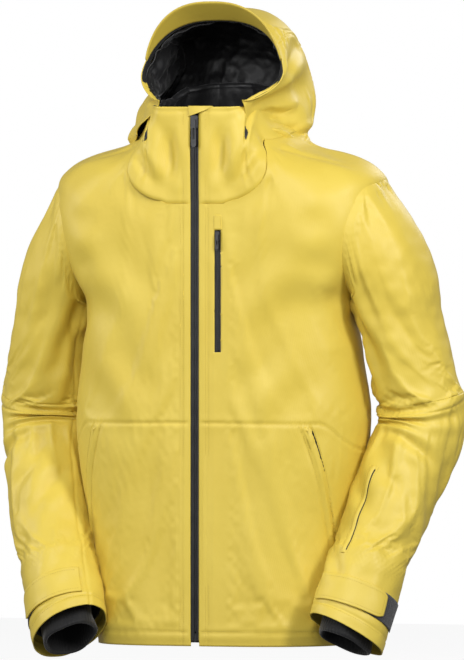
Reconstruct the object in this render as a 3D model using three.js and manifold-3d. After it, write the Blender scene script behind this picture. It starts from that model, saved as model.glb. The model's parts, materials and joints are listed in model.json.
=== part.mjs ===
// An insulated ski jacket with a fixed, brimmed hood, in the shape it has when it is worn.
// Millimetres, +Z up, -Y the front, +X the wearer's left. The origin is where a peg carries the hanger loop.
import * as THREE from "three";
import { LoftGeometry } from "three/addons/geometries/LoftGeometry.js";
import { mergeVertices } from "three/addons/utils/BufferGeometryUtils.js";
import Module from "manifold-3d";

const wasm = await Module();
wasm.setup();

// ---- Driving dimensions -------------------------------------------------------------------------------------------
// The body. Heights are measured up from the hem.
const FRONT = 136; // how far the straight centre front stands forward of the arms' plane
const FLAT_HALF = 56; // half the flat strip that carries the main zip and the chest zip
const FLAT_TURN = 15; // degrees of the body's turn that the flat strip takes up
// height, half width, back depth, and how square the front and the back of the section are
const BODY_SECTIONS = [
  [0, 205, 118, 2.2, 2.4],
  [150, 209, 122, 2.2, 2.4],
  [300, 226, 126, 2.2, 2.4],
  [400, 226, 128, 2.2, 2.4],
  [490, 210, 132, 2.3, 2.4],
  [550, 214, 134, 2.5, 2.6],
  [600, 250, 132, 3.0, 3.0],
  [660, 266, 128, 3.2, 3.2],
  [710, 270, 118, 2.6, 2.8],
  [755, 258, 104, 1.9, 2.3],
  [785, 205, 88, 1.35, 1.8],
  [805, 140, 80, 1.4, 1.8],
  [830, 112, 76, 1.6, 1.9],
];
const WAIST_SEAM = 355;
const YOKE_SEAM = 640;
const SIDE_SEAM = 84; // degrees round from the centre front
const NECK_SEAM_FRONT = 704;
const NECK_SEAM_BACK = 818;
const NECK_FLAT_TURN = 20; // degrees over which the neck seam stays low at the front
const NECK_RISE_TURN = 72; // degrees at which it has reached the shoulder
const SEAM_GAP = 0.8; // space left between two panels at a seam

// Layers, as depths under the outer face.
const SHELL = 1.6;
const LINING = [8.6, 12];
const COLLAR_LINING = [3.9, 8.2];
const TOUCH = 0.4; // space between two pieces that lie on each other

// The collar.
const COLLAR_TOP = 858;
const COLLAR_BACK_RISE = 12;
const COLLAR_HALF = 98;
const COLLAR_BACK = 74;
const COLLAR_MID_HALF = 108;
const COLLAR_SQUARE = 2.3;
const COLLAR_START = 0.9; // how far above the neck seam the collar's edge starts

// The hood: arches from jaw to jaw that fan about the line through the two jaw points.
const JAW = new THREE.Vector3(112, -112, 800);
// turn of the arch from straight back, how much it bulges to the side, how far its middle reaches
const HOOD_ARCHES = [
  [5, 112, 206],
  [18, 128, 250],
  [35, 132, 284],
  [50, 118, 280],
  [62, 90, 240],
  [72, 66, 212],
];
const HOOD_START = 8; // degrees: the arch where the hood folds from its neck band
const HOOD_RIM = 72;
const HOOD_END = 13; // degrees of each arch that stay open at the jaw
const HOOD_PANEL_SEAM = 52; // degrees up the arch, between a side panel and the crown
const HOOD_LINING = [3.4, 7];
const BRIM_FROM = 30; // degrees up the arch where the brim starts
const BRIM_DEPTH = 44;
const BRIM_RISE = 40; // degrees
const BRIM_THICK = 3;
const BAND_TURN = 74; // degrees round the neck where the hood's neck band starts
const BAND_THICK = 3;
const BAND_GAP = 1;
const BAND_BELOW = 0.9; // degrees between the band's top and the hood's first arch

// The sleeves, for the wearer's left; the right one is its mirror image.
const ARMHOLE = new THREE.Vector3(231, 3, 661);
const ARMHOLE_RADIUS = 102;
const ARMHOLE_TILT = 13.6; // degrees that the armhole looks down
const ARMHOLE_GAP = 0.4;
const ELBOW = new THREE.Vector3(325, 38, 352);
const CUFFS = { left: new THREE.Vector3(246, -110, 22), right: new THREE.Vector3(228, -142, 22) };
const ELBOW_RADIUS = 68;
const CUFF_RADIUS = 59;
const SLEEVE_LINING = [2.2, 5.0];
const SLEEVE_ROOM = 0.8; // space between a sleeve and the body
const ROOM_INTO_BODY = 8;
const CUTTER_DEPTH = 1.5; // how much deeper than the armhole the cut across the body is
const BALL_END = 40; // degrees that the upper sleeve's rounded end runs on past its widest ring
const ELBOW_GAP = 0.3;
const ELBOW_RELIEF = 26; // how much lower the forearm starts at the crook of the elbow
const GAITER_RADIUS = 47;
const GAITER_LENGTH = 96;
const GAITER_PROUD = 14;
const GAITER_WALL = 3;

// Cuff straps: lengths along the forearm from the cuff's edge, degrees round from the front.
const STRAP_LOW = 34;
const STRAP_HIGH = 78;
const STRAP_BASE = -34;
const STRAP_END = 58;
const STRAP_THICK = 2.2;
const LOOP_END = 92;
const LOOP_THICK = 1.2;

// Zips. A zip is two tapes with a coil behind each, and a slider whose post runs in the slit between them.
const ZIP_SHOW = 8; // half the black width that shows between the panels
const ZIP_SLIT = 1.2; // half the slit
const TAPE_HALF = 20;
const TAPE = [2.0, 3.2];
const COIL = [3.5, 6.0];
const COIL_HALF = 4.2;
const ZIP_TOP = 846;
const ZIP_BOTTOM = 6;
const SLIDER_HALF = 6;
const SLIDER_LONG = 20;
const SLIDER_FACE = [-2.6, 1.4]; // the front plate, as depths
const SLIDER_BACK = [6.6, 8.2];
const POST_HALF = 0.7;
const PULL_HALF = 4.4;
const PULL_LONG = 44;
const PULL_THICK = 1.8;
const BOX_HEIGHT = 14;

const CHEST_X = 39; // centre of the chest pocket's zip
const CHEST_TOP = 662;
const CHEST_BOTTOM = 468;
const CHEST_SHOW = 5;
const CHEST_TAPE_HALF = 12;
const CHEST_SLIDER_HALF = 3.6;
const CHEST_SLIDER_LONG = 14;
const CHEST_PULL_LONG = 24;
const CHEST_GARAGE = 26;

const POCKET_TOP = new THREE.Vector2(47, 338); // degrees round the body, height
const POCKET_LOW = new THREE.Vector2(64, 165);
const POCKET_HALF = 2.2; // degrees: half the slot
const WELT_WIDE = 5.6; // degrees
const WELT_THICK = 2.0;
const WELT_PROUD = 0.9; // space under the welt

const FOREARM_ZIP = [112, 212]; // along the forearm from the cuff's edge
const FOREARM_ZIP_TURN = -40;
const FOREARM_ZIP_HALF = 4; // degrees

const SKIRT = [40, 170]; // heights of the powder skirt
const SKIRT_DEPTH = [13, 15];
const SKIRT_GAP_TURN = 12;
const FLAP_HALF = 30;
const FLAP_DEPTH = [12.5, 14.5];

const LOOP_WIDE = 9; // the hanger loop's webbing
const LOOP_THICK_MM = 2;
const LOOP_SPAN = 74;
const LOOP_DROP = 34;
const LOOP_TOP = 826;

// ---- Small helpers ------------------------------------------------------------------------------------------------
const { lerp, degToRad, clamp } = THREE.MathUtils;
const power = (x, p) => Math.sign(x) * Math.abs(x) ** p;

// Smooth curves through a table whose first column is the place along it.
function through(rows) {
  const width = rows[0].length - 1;
  const curve = new THREE.CubicInterpolant(
    rows.map((row) => row[0]),
    rows.flatMap((row) => row.slice(1)),
    width,
    new Float64Array(width),
  );
  return (at) => Array.from(curve.evaluate(clamp(at, rows[0][0], rows.at(-1)[0])));
}

// Moves a surface in by a depth along its own normal. outward says which way out is at a point.
function layered(surface, outward) {
  const STEP = 0.02;
  return (u, v, depth) => {
    const at = surface(u, v);
    const across = surface(u + STEP, v).sub(surface(u - STEP, v));
    const along = surface(u, v + STEP).sub(surface(u, v - STEP));
    const normal = across.cross(along).normalize();
    if (normal.dot(outward(at)) < 0) normal.negate();
    return at.addScaledVector(normal, -depth);
  };
}

function volumeOf(geometry) {
  const p = geometry.getAttribute("position");
  const [a, b, c] = [0, 1, 2].map(() => new THREE.Vector3());
  let sum = 0;
  for (let i = 0; i < geometry.index.count; i += 3) {
    a.fromBufferAttribute(p, geometry.index.getX(i));
    b.fromBufferAttribute(p, geometry.index.getX(i + 1));
    c.fromBufferAttribute(p, geometry.index.getX(i + 2));
    sum += a.dot(b.cross(c)) / 6;
  }
  return sum;
}

function loft(sections) {
  let made = new LoftGeometry(sections);
  if (volumeOf(made) < 0) made = new LoftGeometry(sections.map((section) => [...section].reverse()));
  const { position } = made.attributes;
  return new THREE.BufferGeometry().setAttribute("position", position).setIndex(made.index);
}

const steps = (from, to, n) => Array.from({ length: n + 1 }, (_, i) => lerp(from, to, i / n));

// A patch of a layered surface as a closed solid: u runs across it, v along it.
function patch(surface, [u0, u1], [v0, v1], [outer, inner], nu, nv) {
  const row = (v, top, bottom) => [
    ...steps(u0, u1, nu).map((u) => surface(u, v, top)),
    ...steps(u1, u0, nu).map((u) => surface(u, v, bottom)),
  ];
  const middle = (outer + inner) / 2;
  return loft([
    row(v0, middle, middle),
    ...steps(v0, v1, nv).map((v) => row(v, outer, inner)),
    row(v1, middle, middle),
  ]);
}

// The same for a surface that closes on itself in u, as a ring with an opening at each end.
function ring(surface, [v0, v1], [outer, inner], nu, nv) {
  return loft(
    steps(0, 360, nu).map((u) => [
      ...steps(v0, v1, nv).map((v) => surface(u % 360, v, outer)),
      ...steps(v1, v0, nv).map((v) => surface(u % 360, v, inner)),
    ]),
  );
}

function toSolid(geometry) {
  const bare = new THREE.BufferGeometry().setAttribute("position", geometry.attributes.position);
  const merged = mergeVertices(bare.setIndex(geometry.index), 1e-4);
  return new wasm.Manifold(
    new wasm.Mesh({
      numProp: 3,
      vertProperties: merged.attributes.position.array,
      triVerts: new Uint32Array(merged.index.array),
    }),
  );
}

function toGeometry(solid) {
  const mesh = solid.getMesh();
  return new THREE.BufferGeometry()
    .setAttribute("position", new THREE.BufferAttribute(mesh.vertProperties, 3))
    .setIndex(new THREE.BufferAttribute(mesh.triVerts, 1));
}

// Cuts tools out of a piece, and keeps the largest of what is left.
function cut(geometry, ...tools) {
  const left = tools.reduce((solid, tool) => solid.subtract(toSolid(tool)), toSolid(geometry));
  return toGeometry(left.decompose().reduce((a, b) => (a.volume() > b.volume() ? a : b)));
}
const join = (...parts) => toGeometry(parts.map(toSolid).reduce((a, b) => a.add(b)));

function box([x0, x1], [y0, y1], [z0, z1]) {
  return new THREE.BoxGeometry(x1 - x0, y1 - y0, z1 - z0).translate((x0 + x1) / 2, (y0 + y1) / 2, (z0 + z1) / 2);
}

// ---- Surfaces -----------------------------------------------------------------------------------------------------
const bodySection = through(BODY_SECTIONS);

// Body surface: turn in degrees from the centre front towards the wearer's left, and height.
function bodyAt(turn, height) {
  const [half, back, squareFront, squareBack] = bodySection(height);
  const side = turn < 0 || turn > 180 ? -1 : 1;
  const away = turn > 180 ? 360 - turn : Math.abs(turn);
  if (away <= FLAT_TURN) {
    return new THREE.Vector3((side * FLAT_HALF * away) / FLAT_TURN, -FRONT, height);
  }
  const front = away <= 90;
  const angle = degToRad(front ? ((away - FLAT_TURN) * 90) / (90 - FLAT_TURN) : away);
  const square = 2 / (front ? squareFront : squareBack);
  const wide = front ? FLAT_HALF + (half - FLAT_HALF) * power(Math.sin(angle), square) : half * power(Math.sin(angle), square);
  const deep = -(front ? FRONT : back) * power(Math.cos(angle), square);
  return new THREE.Vector3(side * wide, deep, height);
}

const body = layered(bodyAt, (p) => new THREE.Vector3(p.x / 2, p.y, Math.max(0, p.z - YOKE_SEAM) / 2));

// The height of the neck seam at a turn round the body.
function neckSeam(turn) {
  const away = turn > 180 ? 360 - turn : Math.abs(turn);
  const rise = THREE.MathUtils.smootherstep(away, NECK_FLAT_TURN - 12, NECK_RISE_TURN + 10);
  return lerp(NECK_SEAM_FRONT, NECK_SEAM_BACK, rise);
}

// Body surface with its height given as a share of the way from one seam to the next. Rows crowd by the upper seam.
const CROWDING = 1.5;
const between = (low, high, crowding = 1) => (turn, share, depth) =>
  body(turn, lerp(high(turn), low(turn), (1 - share) ** crowding), depth);

// Collar surface: turn as on the body, and 0 at the neck seam to 1 at the top edge.
function collarRing(turn, half, back, height) {
  const side = turn < 0 || turn > 180 ? -1 : 1;
  const away = turn > 180 ? 360 - turn : Math.abs(turn);
  if (away <= FLAT_TURN) return new THREE.Vector3((side * FLAT_HALF * away) / FLAT_TURN, -FRONT, height);
  const front = away <= 90;
  const angle = degToRad(front ? ((away - FLAT_TURN) * 90) / (90 - FLAT_TURN) : away);
  const square = 2 / COLLAR_SQUARE;
  const wide = front ? FLAT_HALF + (half - FLAT_HALF) * power(Math.sin(angle), square) : half * Math.sin(angle);
  const deep = front ? FRONT * power(Math.cos(angle), square) : back * Math.cos(angle);
  return new THREE.Vector3(side * wide, -deep, height);
}

function collarAt(turn, share) {
  const rise = (COLLAR_BACK_RISE * (1 - Math.cos(degToRad(turn)))) / 2;
  const low = bodyAt(turn, neckSeam(turn) + COLLAR_START);
  const mid = collarRing(turn, COLLAR_MID_HALF, COLLAR_BACK, (low.z + COLLAR_TOP + rise) / 2);
  const top = collarRing(turn, COLLAR_HALF, COLLAR_BACK, COLLAR_TOP + rise);
  return new THREE.QuadraticBezierCurve3(low, mid, top).getPoint(clamp(share, 0, 1));
}

const collar = layered(collarAt, (p) => new THREE.Vector3(p.x, p.y, 20));

// Hood surface: degrees up the arch from the left jaw over to the right, and the arch's turn from straight back.
const hoodArch = through(HOOD_ARCHES);
function hoodAt(up, turn) {
  const [bulge, high] = hoodArch(turn);
  const sine = Math.sin(degToRad(up));
  const reach = high * sine;
  return new THREE.Vector3(
    (JAW.x + bulge * sine) * Math.cos(degToRad(up)),
    JAW.y + reach * Math.cos(degToRad(turn)),
    JAW.z + reach * Math.sin(degToRad(turn)),
  );
}
const hood = layered(hoodAt, (p) => new THREE.Vector3(p.x, p.y - JAW.y, p.z - JAW.z + 20));

// The brim flares forward and up from the hood's rim, and is deepest in the middle.
function brimAt(up, out) {
  const middle = Math.sin(degToRad(((up - BRIM_FROM) * 180) / (180 - 2 * BRIM_FROM)));
  const reach = SEAM_GAP + out * BRIM_DEPTH * (0.3 + 0.7 * clamp(middle, 0, 1));
  const rise = new THREE.Vector3(0, -Math.cos(degToRad(BRIM_RISE)), Math.sin(degToRad(BRIM_RISE)));
  return hoodAt(up, HOOD_RIM).addScaledVector(rise, reach);
}
const brim = layered(brimAt, (p) => new THREE.Vector3(p.x, 0, p.z - JAW.z));

// The band flares from the neck seam out to the hood's first arch: turn as on the body, share 0 to 1 going up.
function neckBandAt(turn, share) {
  const side = turn < 180 ? 1 : -1;
  const away = (side > 0 ? turn : 360 - turn) - BAND_TURN;
  const up = 18 + 72 * (Math.max(0, away) / (180 - BAND_TURN)) ** 0.8;
  const low = body(turn, neckSeam(turn) - 8, -BAND_THICK - BAND_GAP);
  const high = hoodAt(side > 0 ? up : 180 - up, HOOD_START - BAND_BELOW);
  return low.lerp(high, share);
}
const neckBand = layered(neckBandAt, (p) => new THREE.Vector3(p.x, p.y, 30));

// Sleeve surfaces, for a side of +1 or -1: turn in degrees from the front towards the outside.
const mirror = (side, p) => new THREE.Vector3(side * p.x, p.y, p.z);
const armholeNormal = (side) =>
  new THREE.Vector3(side * Math.cos(degToRad(ARMHOLE_TILT)), 0, -Math.sin(degToRad(ARMHOLE_TILT)));

// A frame across a line: front is the way to the wearer's front, out the way away from the body.
function frameAcross(along) {
  const out = new THREE.Vector3(0, -1, 0).cross(along).normalize();
  const front = along.clone().cross(out).normalize();
  return { out, front };
}

const upperLine = new THREE.CatmullRomCurve3(
  [
    ARMHOLE.clone().addScaledVector(armholeNormal(1), ARMHOLE_GAP),
    ARMHOLE.clone().addScaledVector(armholeNormal(1), 34).add(new THREE.Vector3(0, 3, -16)),
    new THREE.Vector3(294, 26, 545),
    new THREE.Vector3(312, 36, 452),
    ELBOW,
  ],
  false,
  "centripetal",
);
// share of the way down, radius across, radius front to back
const upperSection = through([
  [0, ARMHOLE_RADIUS, ARMHOLE_RADIUS],
  [0.2, 88, 94],
  [0.5, 74, 82],
  [0.8, ELBOW_RADIUS, 72],
  [1, ELBOW_RADIUS, ELBOW_RADIUS],
]);
const elbowDirection = new THREE.Vector3(0.02, -0.24, -0.97).normalize();

function sleeveDirection(share) {
  if (share <= 0) return armholeNormal(1);
  const along = upperLine.getTangentAt(clamp(share, 0, 1));
  const swing = THREE.MathUtils.smoothstep(share, 0.75, 1);
  const start = THREE.MathUtils.smoothstep(share, 0, 0.3);
  return armholeNormal(1).lerp(along, start).lerp(elbowDirection, swing).normalize();
}

// Past share 1 the sleeve rounds in, on a ball about the elbow: each further 0.01 is one degree.
const BALL_STEP = 0.01;
function upperAt(side) {
  return (turn, share) => {
    const main = clamp(share, 0, 1);
    const past = degToRad(Math.max(0, share - 1) / BALL_STEP);
    const along = sleeveDirection(main);
    const { out, front } = frameAcross(along);
    const [across, deep] = upperSection(main);
    const angle = degToRad(turn);
    const at = upperLine.getPointAt(main);
    at.addScaledVector(out, across * Math.cos(past) * Math.sin(angle));
    at.addScaledVector(front, deep * Math.cos(past) * Math.cos(angle));
    at.addScaledVector(along, ELBOW_RADIUS * Math.sin(past));
    return mirror(side, at);
  };
}
function awayFromLine(line, side) {
  const points = line.getSpacedPoints(24).map((p) => mirror(side, p));
  return (p) => {
    const nearest = points.reduce((a, b) => (a.distanceTo(p) < b.distanceTo(p) ? a : b));
    return p.clone().sub(nearest);
  };
}
const upper = (side) => layered(upperAt(side), awayFromLine(upperLine, side));

// Forearm surface: v is the distance up from the cuff's edge. The wearer's right arm hangs further forward.
const armSide = (side) => {
  const cuff = side > 0 ? CUFFS.left : mirror(-1, CUFFS.right);
  cuff.x = Math.abs(cuff.x);
  const along = cuff.clone().sub(ELBOW).normalize();
  return { cuff, along, length: cuff.distanceTo(ELBOW), ...frameAcross(along) };
};
const forearmStart = Math.sqrt((ELBOW_RADIUS + ELBOW_GAP) ** 2 - (ELBOW_RADIUS - 8) ** 2);
const forearmRadius = (up) => lerp(CUFF_RADIUS, ELBOW_RADIUS - 3, clamp(up / 350, 0, 1));
function forearm(side) {
  const { cuff, along, out, front } = armSide(side);
  const at = (turn, up) => {
    const angle = degToRad(turn);
    const point = cuff.clone().addScaledVector(along, -up);
    point.addScaledVector(out, forearmRadius(up) * Math.sin(angle));
    point.addScaledVector(front, forearmRadius(up) * Math.cos(angle));
    return mirror(side, point);
  };
  const line = new THREE.LineCurve3(cuff.clone().addScaledVector(along, 40), ELBOW);
  return layered(at, awayFromLine(line, side));
}

// ---- Pieces -------------------------------------------------------------------------------------------------------
const jacket = new THREE.Group();
const COLOURS = {
  shell: [0xd7c053, 0.62],
  lining: [0x151516, 0.7],
  zip: [0x1c1c1e, 0.45],
  hardware: [0x26262a, 0.35],
  loop: [0x454547, 0.95],
};

function add(name, colour, geometry) {
  const [color, roughness] = COLOURS[colour];
  const mesh = new THREE.Mesh(geometry, new THREE.MeshStandardMaterial({ color, roughness, metalness: 0 }));
  mesh.name = name;
  jacket.add(mesh);
}

const hem = () => 0;
const waistUnder = () => WAIST_SEAM - SEAM_GAP / 2;
const waistOver = () => WAIST_SEAM + SEAM_GAP / 2;
const yokeUnder = () => YOKE_SEAM - SEAM_GAP / 2;
const yokeOver = () => YOKE_SEAM + SEAM_GAP / 2;
const sideTurn = SIDE_SEAM;
const gapTurn = 0.26;
const zipTurn = (FLAT_TURN * ZIP_SHOW) / FLAT_HALF;
const sides = [
  ["left", 1],
  ["right", -1],
];

// Cuts the body's layers away where the sleeve starts.
function armholeCutter(side) {
  const long = 160;
  const tool = new THREE.CylinderGeometry(ARMHOLE_RADIUS + SLEEVE_ROOM, ARMHOLE_RADIUS + SLEEVE_ROOM, long, 40);
  tool.translate(0, long / 2, 0).scale(1, 1, CUTTER_DEPTH);
  tool.applyQuaternion(new THREE.Quaternion().setFromUnitVectors(new THREE.Vector3(0, 1, 0), armholeNormal(side)));
  const at = mirror(side, ARMHOLE);
  return tool.translate(at.x, at.y, at.z);
}

// The room a sleeve takes up, with a little space round it.
function sleeveRoom(side) {
  const at = upper(side);
  const loops = steps(0, 1, 9).map((share) => steps(0, 340, 17).map((turn) => at(turn, share, -SLEEVE_ROOM)));
  loops.unshift(loops[0].map((p) => p.clone().addScaledVector(armholeNormal(side), -ROOM_INTO_BODY)));
  const centre = (loop) => loop.reduce((sum, p) => sum.add(p), new THREE.Vector3()).divideScalar(loop.length);
  const closed = (loop) => loop.map(() => centre(loop));
  return loft([closed(loops[0]), ...loops, closed(loops.at(-1))]);
}

function chestSlot() {
  return box(
    [CHEST_X - CHEST_SHOW, CHEST_X + CHEST_SHOW],
    [-FRONT - 10, -FRONT + 10],
    [CHEST_BOTTOM, CHEST_TOP],
  );
}

// The slanted line of a hand pocket, as a surface of its own: u across it in degrees, v its share from the bottom.
const pocketTurn = (share) => lerp(POCKET_LOW.x, POCKET_TOP.x, share);
const pocketHeight = (share) => lerp(POCKET_LOW.y, POCKET_TOP.y, share);
const pocket = (side) => (u, share, depth) => body(side * (pocketTurn(share) + u), pocketHeight(share), depth);

function bodyShell() {
  for (const [name, side] of sides) {
    const armhole = [armholeCutter(side), sleeveRoom(side)];
    const front = [side * zipTurn, side * (sideTurn - gapTurn)];
    const slot = patch(pocket(side), [-POCKET_HALF, POCKET_HALF], [0, 1], [-6, 6], 2, 8);
    add(`front_lower_${name}`, "shell", cut(patch(between(hem, waistUnder), front, [0, 1], [0, SHELL], 14, 6), slot));
    const upperAt = between(waistOver, neckSeam, CROWDING);
    const upper = cut(patch(upperAt, front, [0, 1], [0, SHELL], 12, 14), ...armhole);
    add(`front_upper_${name}`, "shell", side > 0 ? cut(upper, chestSlot()) : upper);
  }
  const back = [sideTurn + gapTurn, 360 - sideTurn - gapTurn];
  const both = [1, -1].flatMap((side) => [armholeCutter(side), sleeveRoom(side)]);
  const panel = patch(between(hem, yokeUnder, CROWDING), back, [0, 1], [0, SHELL], 18, 14);
  add("back_panel", "shell", cut(panel, ...both));
  const yoke = patch(between(yokeOver, neckSeam, CROWDING), back, [0, 1], [0, SHELL], 18, 10);
  add("back_yoke", "shell", cut(yoke, ...both));
}

function bodyLining() {
  const top = (turn) => neckSeam(turn) - 12;
  const start = 7.2;
  for (const [name, side] of sides) {
    const span = [side * start, side * (sideTurn - gapTurn)];
    const made = patch(between(() => 24, top, CROWDING), span, [0, 1], LINING, 12, 14);
    add(`body_lining_${name}`, "lining", cut(made, armholeCutter(side), sleeveRoom(side)));
  }
  const back = [sideTurn + gapTurn, 360 - sideTurn - gapTurn];
  const made = patch(between(() => 24, top, CROWDING), back, [0, 1], LINING, 18, 14);
  add("body_lining_back", "lining", cut(made, ...[1, -1].flatMap((side) => [armholeCutter(side), sleeveRoom(side)])));
  add(
    "powder_skirt",
    "lining",
    patch(body, [SKIRT_GAP_TURN, 360 - SKIRT_GAP_TURN], SKIRT, SKIRT_DEPTH, 28, 2),
  );
}

function collarPieces() {
  for (const [name, side] of sides) {
    add(`collar_${name}`, "shell", patch(collar, [side * zipTurn, side * (sideTurn - gapTurn)], [0.01, 1], [0, SHELL], 10, 6));
    add(
      `collar_lining_${name}`,
      "lining",
      patch(collar, [side * 7.2, side * (sideTurn - gapTurn)], [0.06, 0.98], COLLAR_LINING, 10, 6),
    );
  }
  add("collar_back", "shell", patch(collar, [sideTurn + gapTurn, 360 - sideTurn - gapTurn], [0.01, 1], [0, SHELL], 12, 4));
}

// A straight zip on the flat strip: depths are measured back from the front.
function straight(x, depth, z) {
  return box(x, [depth[0] - FRONT, depth[1] - FRONT], z);
}

function mainZip() {
  for (const [name, side] of sides) {
    const span = (from, to) => [side * from, side * to].sort((a, b) => a - b);
    add(`main_zip_tape_${name}`, "zip", straight(span(ZIP_SLIT, TAPE_HALF), TAPE, [ZIP_BOTTOM, ZIP_TOP]));
    add(
      `main_zip_coil_${name}`,
      "hardware",
      straight(span(ZIP_SLIT, COIL_HALF), COIL, [ZIP_BOTTOM + BOX_HEIGHT + TOUCH, ZIP_TOP - 6]),
    );
  }
  add("main_zip_box", "hardware", straight([-6, 6], COIL, [ZIP_BOTTOM, ZIP_BOTTOM + BOX_HEIGHT]));
  add("storm_flap", "lining", straight([-FLAP_HALF, FLAP_HALF], FLAP_DEPTH, [20, COLLAR_TOP - 12]));
  add("zip_garage", "shell", straight([-13, 20], [-2.2, -TOUCH], [ZIP_TOP, COLLAR_TOP + 1]));
}

// A slider: a plate in front of the tapes, one behind the coils, and the post between them.
function slider(half, long, x, top, face, back) {
  return join(
    straight([x - half, x + half], face, [top - long, top]),
    straight([x - half, x + half], back, [top - long, top]),
    straight([x - POST_HALF, x + POST_HALF], [face[0] + 1, back[1] - 0.5], [top - long / 2 - 3, top - long / 2 + 3]),
  );
}

// A pull that hangs from the slider's bail, with a window through it.
function pull(half, long, thick, window) {
  const outline = new THREE.Shape();
  outline.moveTo(-half * 0.7, 0);
  outline.lineTo(half * 0.7, 0);
  outline.lineTo(half, -long + half);
  outline.absarc(0, -long + half, half, 0, Math.PI, true);
  outline.closePath();
  const hole = new THREE.Path();
  hole.moveTo(-half * 0.35, -long * window[0]);
  hole.lineTo(-half * 0.35, -long * window[1]);
  hole.lineTo(half * 0.35, -long * window[1]);
  hole.lineTo(half * 0.35, -long * window[0]);
  hole.closePath();
  outline.holes.push(hole);
  return new THREE.ExtrudeGeometry(outline, { depth: thick, bevelEnabled: false, curveSegments: 5 })
    .translate(0, 0, -thick / 2)
    .rotateX(Math.PI / 2);
}

const mainSliderTop = ZIP_TOP - 2;
const mainPullAt = [0, -FRONT + SLIDER_FACE[0] - TOUCH - PULL_THICK / 2, mainSliderTop - 6];
const chestSliderTop = CHEST_TOP - 2;
const chestFace = [-1.9, 1.4];
const chestPullAt = [CHEST_X, -FRONT + chestFace[0] - TOUCH - 0.8, chestSliderTop - 5];

function sliders() {
  add("main_zip_slider", "hardware", slider(SLIDER_HALF, SLIDER_LONG, 0, mainSliderTop, SLIDER_FACE, SLIDER_BACK));
  const mainPull = pull(PULL_HALF, PULL_LONG, PULL_THICK, [0.3, 0.72]);
  add("main_zip_pull", "hardware", mainPull.translate(...mainPullAt));
  add(
    "chest_zip_slider",
    "hardware",
    slider(CHEST_SLIDER_HALF, CHEST_SLIDER_LONG, CHEST_X, chestSliderTop, chestFace, [3.7, 5.2]),
  );
  const chestPull = pull(3, CHEST_PULL_LONG, 1.6, [0.4, 0.7]);
  add("chest_zip_pull", "hardware", chestPull.translate(...chestPullAt));
}

function chestPocket() {
  const strip = (from, to, depth, z) => straight([CHEST_X + from, CHEST_X + to], depth, z);
  const z = [CHEST_BOTTOM - 8, CHEST_TOP + 6];
  add("chest_zip_tape_left", "zip", strip(ZIP_SLIT, CHEST_TAPE_HALF, [2.2, 3.2], z));
  add("chest_zip_tape_right", "zip", strip(-CHEST_TAPE_HALF, -ZIP_SLIT, [2.2, 3.2], z));
  add("chest_zip_garage", "shell", strip(-8, 8, [-2.2, -0.4], [CHEST_TOP + 1, CHEST_TOP + CHEST_GARAGE]));
}

function handPockets() {
  for (const [name, side] of sides) {
    const at = pocket(side);
    add(`${name}_pocket_welt`, "shell", patch(at, [-POCKET_HALF - 0.4, WELT_WIDE - POCKET_HALF], [-0.03, 0.93], [-WELT_PROUD - WELT_THICK, -WELT_PROUD], 3, 8));
    add(`${name}_pocket_zip`, "zip", patch(at, [-POCKET_HALF - 2.4, POCKET_HALF + 2.4], [-0.03, 1.03], [2.8, 4], 4, 8));
  }
}

// The hanger loop's back edges lie against the lining of the neck.
const loopBack = body(149, LOOP_TOP - LOOP_DROP, LINING[1]).y + 0.4;
function hangerLoop() {
  const arch = (half, top, corner) => {
    const path = new THREE.Path();
    path.moveTo(-half, LOOP_TOP - LOOP_DROP);
    path.lineTo(-half, top - corner);
    path.quadraticCurveTo(-half, top, corner - half, top);
    path.lineTo(half - corner, top);
    path.quadraticCurveTo(half, top, half, top - corner);
    path.lineTo(half, LOOP_TOP - LOOP_DROP);
    return path.getPoints(4);
  };
  const outer = arch(LOOP_SPAN / 2, LOOP_TOP, 10);
  const inner = arch(LOOP_SPAN / 2 - LOOP_THICK_MM, LOOP_TOP - LOOP_THICK_MM, 8);
  const shape = new THREE.Shape([...outer, ...inner.reverse()]);
  const made = new THREE.ExtrudeGeometry(shape, { depth: LOOP_WIDE, bevelEnabled: false });
  add("hanger_loop", "zip", made.rotateX(Math.PI / 2).translate(0, loopBack, 0));
}

function hoodPieces() {
  const seam = HOOD_PANEL_SEAM;
  const reach = [HOOD_START, HOOD_RIM];
  const ends = { left: [HOOD_END, seam - 0.3], right: [180 - HOOD_END, 180 - seam + 0.3] };
  for (const [name] of sides) add(`hood_side_${name}`, "shell", patch(hood, ends[name], reach, [0, SHELL], 6, 9));
  add("hood_crown", "shell", patch(hood, [seam + 0.3, 180 - seam - 0.3], reach, [0, SHELL], 10, 9));
  const lined = [HOOD_START + 1, HOOD_RIM - 2];
  add("hood_lining", "lining", patch(hood, [HOOD_END, 180 - HOOD_END], lined, HOOD_LINING, 18, 9));
  add("hood_brim", "shell", patch(brim, [BRIM_FROM, 180 - BRIM_FROM], [0, 1], [0, BRIM_THICK], 14, 3));
  add("hood_neck_band", "shell", patch(neckBand, [BAND_TURN, 360 - BAND_TURN], [0, 1], [0, BAND_THICK], 18, 3));
}

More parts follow.
